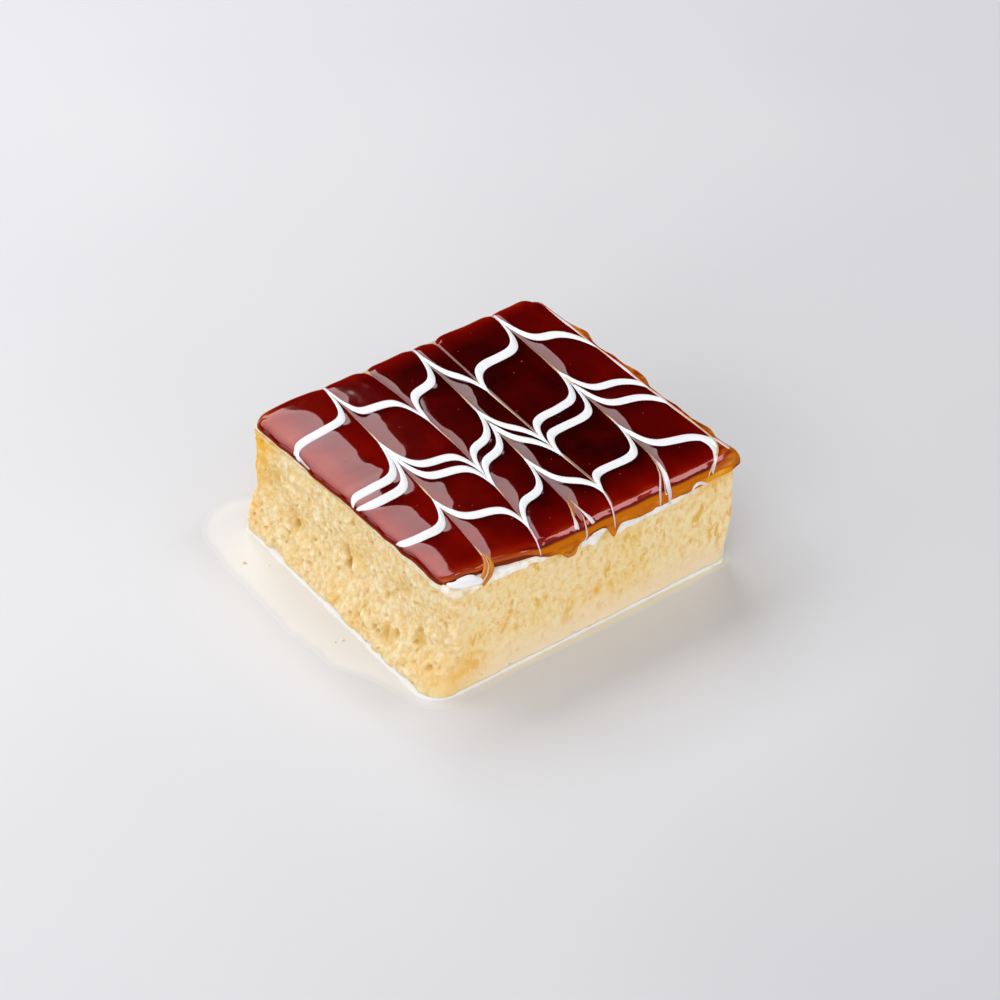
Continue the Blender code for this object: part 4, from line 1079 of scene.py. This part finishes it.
# Each strand: its finish, the node it stands for, its slot and marks, the way its wide axis lies, its half
# depth, its half widths from end to end, and its path.
STRANDS = {
    "corner_spill": (icing, "cream_layer", "whipped_cream", {}, (0, -0.72, -0.7), 0.8,
        (0.4, 0.9, 1.35, 1.4, 1.2, 0.7),
        [(-47.4, -43.2, 37.0), (-46.4, -45.0, 36.9), (-43.6, -45.7, 36.8), (-40.8, -46.0, 36.5),
         (-38.8, -46.5, 35.9), (-37.4, -46.7, 35.3)]),
    "corner_spill_fold": (icing, "cream_layer", "whipped_cream", {}, (0, -0.85, -0.5), 0.4,
        (0.3, 0.6, 0.7, 0.4),
        [(-45.0, -44.4, 37.4), (-43.0, -44.9, 37.45), (-40.8, -45.1, 37.3), (-39.0, -45.6, 36.8)]),
    "first_hook_upper": (amber, "glaze", "caramel_glaze", {}, (0.9, 0, 0.45), 0.5,
        (0.3, 0.5, 0.7, 0.7, 0.6, 0.3),
        [(-33.0, -40.2, 37.95), (-33.6, -42.0, 37.8), (-34.7, -44.2, 37.5), (-36.4, -45.8, 36.7),
         (-38.4, -46.6, 35.7), (-39.4, -46.9, 35.1)]),
    "first_hook_lower": (amber, "glaze", "caramel_glaze", {}, (0.9, 0, 0.45), 0.5,
        (0.3, 0.5, 0.7, 0.65, 0.5, 0.25),
        [(-32.2, -40.4, 37.9), (-32.5, -42.4, 37.75), (-33.1, -44.8, 37.4), (-34.6, -46.4, 36.4),
         (-36.7, -47.2, 35.3), (-38.5, -47.6, 34.4)]),
    "first_hook_pale": (stretched, "glaze", "whipped_cream", {"tan": 0.4}, (0.9, 0, 0.45), 0.4,
        (0.1, 0.16, 0.22, 0.24, 0.2),
        [(-32.6, -40.0, 38.0), (-33.1, -42.2, 37.9), (-33.9, -44.6, 37.6), (-35.5, -46.3, 36.8),
         (-37.6, -47.1, 35.7), (-39.2, -47.4, 35.0)]),
    "front_wave": (stretched, "glaze", "whipped_cream", {"tan": 0.08}, (-0.5, 0, 1), 0.35,
        (0.2, 0.3, 0.4, 0.5, 0.45, 0.3),
        [(33.5, -48.1, 30.8), (32.8, -48.4, 31.4), (32.8, -48.7, 33.0), (33.1, -48.9, 34.4),
         (34.1, -48.95, 35.1), (35.6, -48.95, 35.1), (37.1, -48.95, 34.1), (38.2, -48.8, 33.2)]),
    "third_fan_amber_left": (amber, "glaze", "caramel_glaze", {}, (1, 0.3, 0), 0.16,
        (0.12, 0.4, 0.5, 0.3),
        [(-0.6, -35.5, 37.9), (-2.0, -39.5, 37.85), (-3.4, -43.0, 37.7), (-4.3, -45.6, 37.0)]),
    "third_fan_amber_right": (amber, "glaze", "caramel_glaze", {}, (1, 0.3, 0), 0.16,
        (0.12, 0.35, 0.25),
        [(-0.4, -38.0, 37.9), (-1.2, -42.0, 37.8), (-2.2, -45.0, 37.2)]),
    "run_drip": (amber, "glaze", "caramel_glaze", {}, (0.3, 0, 1), 0.4,
        (0.5, 0.7, 0.75, 0.75, 0.6, 0.4),
        [(-11.4, -48.9, 33.6), (-10.9, -48.95, 32.6), (-9.8, -49.0, 31.9), (-8.6, -49.0, 31.8),
         (-7.7, -48.9, 32.6), (-7.6, -48.8, 34.0)]),
}


def strand(path, half_widths, half_depth, wide_way):
    """A closed rounded bead's grid along a path of points in millimetres: at each, an oval of this half width
    and half depth with its wide axis along wide_way, shrinking at both ends as a half circle does."""
    knots = np.array(path, dtype=float)
    along = steps_along(knots)
    steps = np.linspace(0, along[-1], max(24, int(along[-1] / 0.25)))
    spine = np.stack(knotted_path(steps, along, knots), axis=-1)
    ways = np.gradient(spine, axis=0)
    ways /= np.linalg.norm(ways, axis=1)[:, None]
    wide = np.cross(ways, np.cross(np.array(wide_way, dtype=float), ways))
    wide /= np.linalg.norm(wide, axis=1)[:, None]
    deep = np.cross(ways, wide)
    ends = np.clip(np.minimum(steps, along[-1] - steps) / (0.9 * max(half_widths)), 0.02, 1)
    swell = np.sqrt(1 - (1 - ends) ** 2)
    widths = np.interp(steps, np.linspace(0, along[-1], len(half_widths)), half_widths) * swell
    angle = np.linspace(0, 2 * np.pi, 17)[:-1, None]
    grid = (spine[:, None] + np.cos(angle) * (wide * widths[:, None])[:, None]
            + np.sin(angle) * (deep * (half_depth * swell)[:, None])[:, None])
    return grid + 0.06 * soft_noise(grid, 1.3, 71)[..., None] * deep[:, None]


for name, (finish, node, slot, marks, wide_way, half_depth, half_widths, path) in STRANDS.items():
    place_piece(surface(name, strand(path, half_widths, half_depth, wide_way), **marks), finish, node)

# ------------------------------------------------------------------------------------------------------------
# Bubbles. Pin-head air bubbles that rose in the warm caramel and set on its top, each a low dome sunk a
# little into the glaze and made of the same caramel.
# ------------------------------------------------------------------------------------------------------------
# Each bubble: where it is, across and back, and its radius.
BUBBLES = np.array([
    (-18, 18, 0.34), (27.5, 21.5, 0.38), (22.5, 18.5, 0.3), (0, 14.5, 0.3), (12.5, 4, 0.34),
    (-34.5, -13, 0.3), (-25.5, -20, 0.42), (-22.5, -22, 0.3), (7, -19, 0.3), (18, -35.5, 0.4),
    (-17.5, -33, 0.34), (-39, 14.5, 0.26), (37.5, 12, 0.24), (16, 36, 0.28), (-2.5, 33, 0.25),
    (20.5, -5, 0.25), (40, -18, 0.3), (-41, -4, 0.24), (5.5, -36, 0.28), (-15, -4, 0.24), (38.5, -36, 0.26),
    (24, 41, 0.28), (-9, -39, 0.26), (14, -27, 0.24),
])
bubble_x, bubble_y, bubble_radius = BUBBLES.T[..., None, None]
turn, up = np.meshgrid(np.linspace(0, 2 * np.pi, 15)[:-1], np.linspace(0.04, 1, 6))
dome_out = np.sin(up * np.pi / 2) * bubble_radius
dome_z = glaze_height(named(bubble_x, bubble_y), bubble_y) - 0.1
dome_z = dome_z + 0.55 * np.sqrt(np.maximum(bubble_radius**2 - dome_out**2, 0))
domes = points_at(bubble_x + dome_out * np.cos(turn), bubble_y + dome_out * np.sin(turn), dome_z)
place_piece(surface("caramel_bubbles", domes, thick=0.7), caramel, "glaze")

# ------------------------------------------------------------------------------------------------------------
# Milk. The three-milk syrup that the sponge couldn't hold: a thin pool that spread from the torn side, and a
# white bead along the foot of the sponge on every side.
# ------------------------------------------------------------------------------------------------------------
POOL_FILM, POOL_SPREAD = 2.8, 14.5
# The pool's outer edge: how far past its reach, and how high. Then shares of the way in to the bead. Then the
# bead up the sponge's foot: how far out and how high, for a bead of one millimetre, and how white the milk
# is.
POOL_EDGE = [(-0.3, 0), (-0.02, 0), (0, 0.008), (-0.03, 0.014)]
POOL_SHARES = (0.03, 0.06, 0.12, 0.2, 0.3, 0.45, 0.65, 0.85, 0.97)
POOL_BEAD = [(0.66, 0.12, 0.7), (0.45, 0.26, 0.9), (0.26, 0.46, 1.0), (0.1, 0.7, 1.0), (-0.02, 0.92, 0.9),
             (-0.25, 1.1, 0.8), (-0.8, 1.15, 0.8), (-2.4, 1.1, 0.8)]

pool_top, pool_foot, pool_out = sponge_outlines((260, 200, 150, 260), 16)
pool_base = sponge_plan(pool_top, pool_foot, np.full(len(pool_top), 1.2))
pool_left, pool_front, pool_back = facing(pool_out, -1, 0), facing(pool_out, 0, -1), facing(pool_out, 0, 1)
pool_x, pool_y = pool_top.T
pool_line = points_at(pool_x, pool_y)
wander = layered(pool_line, (0.10, 11.0, 51), (0.05, 4.0, 52))
share = pool_left * ease(pool_y, -52, -8) + pool_back * (1 - ease(pool_x, -52, -22))
share = share + pool_front * 0.15 * (1 - ease(pool_x, -50, -36))
reach = POOL_FILM * (1 + 2 * wander) + (POOL_SPREAD - POOL_FILM) * share * (1 + wander)
meniscus = 0.62 + layered(pool_line, (0.3, 3.0, 53), (0.22, 1.2, 54)) + 0.2 * pool_left
breadth = reach - 0.9 * meniscus
pool_rows = [(reach + past, height, 0) for past, height in POOL_EDGE]
for part in POOL_SHARES:
    height = 0.014 + (0.05 + 0.14 * np.clip(breadth / 8, 0, 1)) * ease(part, -0.15, 0.9)
    deep = 0.7 * ease(part * breadth, 0.2, 5) * np.clip(breadth / 6, 0, 1)
    pool_rows.append((reach - breadth * part, height, np.maximum(deep, 0.24 * ease(part, 0.05, 0.9))))
pool_rows += [(away * meniscus, up * meniscus + 0.08, deep) for away, up, deep in POOL_BEAD]
pool_away, pool_z, whiteness = np.array([np.broadcast_arrays(*row) for row in pool_rows]).swapaxes(0, 1)
warmth = np.interp(pool_away / reach, (0.1, 0.36, 0.6, 0.97), (0, 1, 0.8, 0))
warmth = warmth * np.minimum(pool_front, ease(pool_x, -44, -20)) * (1 - ease(reach, 3.5, 5))
pool_grid = np.dstack([pool_base + pool_out * pool_away[..., None], pool_z])
pool = surface("spilt_milk", pool_grid, white=whiteness, warm=warmth)

milk = Finish("sweet_milk", Roughness=0.42, Specular_IOR_Level=0.45)
milk_depth = milk.math("MULTIPLY_ADD", milk.noise(60.0, 3.0), 0.1, milk.mark("white"))
cool_milk = milk.ramp(milk_depth, (0.05, (0.695, 0.695, 0.715)), (0.14, (0.705, 0.703, 0.72)),
                      (0.3, (0.755, 0.745, 0.745)), (0.5, (0.775, 0.765, 0.76)), (0.8, (0.775, 0.765, 0.755)),
                      (1.0, (0.84, 0.83, 0.82)))
milk.paint(milk.mix(milk.mark("warm"), cool_milk, (0.80, 0.74, 0.56)))
milk.bump(milk.noise(150.0, 2.0), 0.00005, 0.4)
place_piece(pool, milk, "milk_pool")

# ------------------------------------------------------------------------------------------------------------
# Crumbs. Loose bits of sponge that fell from the torn side: a few grains in the milk at its foot, and most of
# them caught in the cream's edge above it.
# ------------------------------------------------------------------------------------------------------------
CRUMBS_IN_MILK, CRUMBS_ON_CREAM = 6, 70
draw = np.random.default_rng(91)
foot_y = draw.uniform(-30, 40, CRUMBS_IN_MILK)
foot_x = np.interp(foot_y, (-47, 47.2), (-56.0, -51.2)) - 1.2
foot_x = foot_x - draw.uniform(1.5, 9, CRUMBS_IN_MILK) * ease(foot_y, -50, 0)
cream_y = draw.uniform(-46, -8, CRUMBS_ON_CREAM)
cream_z = np.interp(cream_y, (-47, -33, -8), (34.3, 34.0, 35.0)) + draw.uniform(-0.7, 1.0, CRUMBS_ON_CREAM)
edge_x = -47.9 - draw.uniform(0, 0.3, CRUMBS_ON_CREAM)
centres = np.concatenate([points_at(foot_x, foot_y, 0.2), points_at(edge_x, cream_y, cream_z)])
sizes = draw.uniform(0.12, 0.45, len(centres)) * np.repeat((1.1, 0.8), (CRUMBS_IN_MILK, CRUMBS_ON_CREAM))
sizes = sizes[:, None, None, None]
turn, up = np.meshgrid(np.linspace(0, 2 * np.pi, 9)[:-1], np.linspace(-0.94, 0.94, 6))
ball = points_at(np.cos(turn) * np.sqrt(1 - up**2), np.sin(turn) * np.sqrt(1 - up**2), up)
grain_points = centres[:, None, None] + ball * sizes
grain_points += 0.35 * sizes * ball * soft_noise(grain_points, 0.45, 92)[..., None]
grain_points[..., 2] = np.maximum(grain_points[..., 2], 0.05)
bits = surface("loose_crumbs", grain_points, hollow=0.0, soaked=0.7, torn=1.0, syrup=0.0)
place_piece(bits, crumb, "sponge")
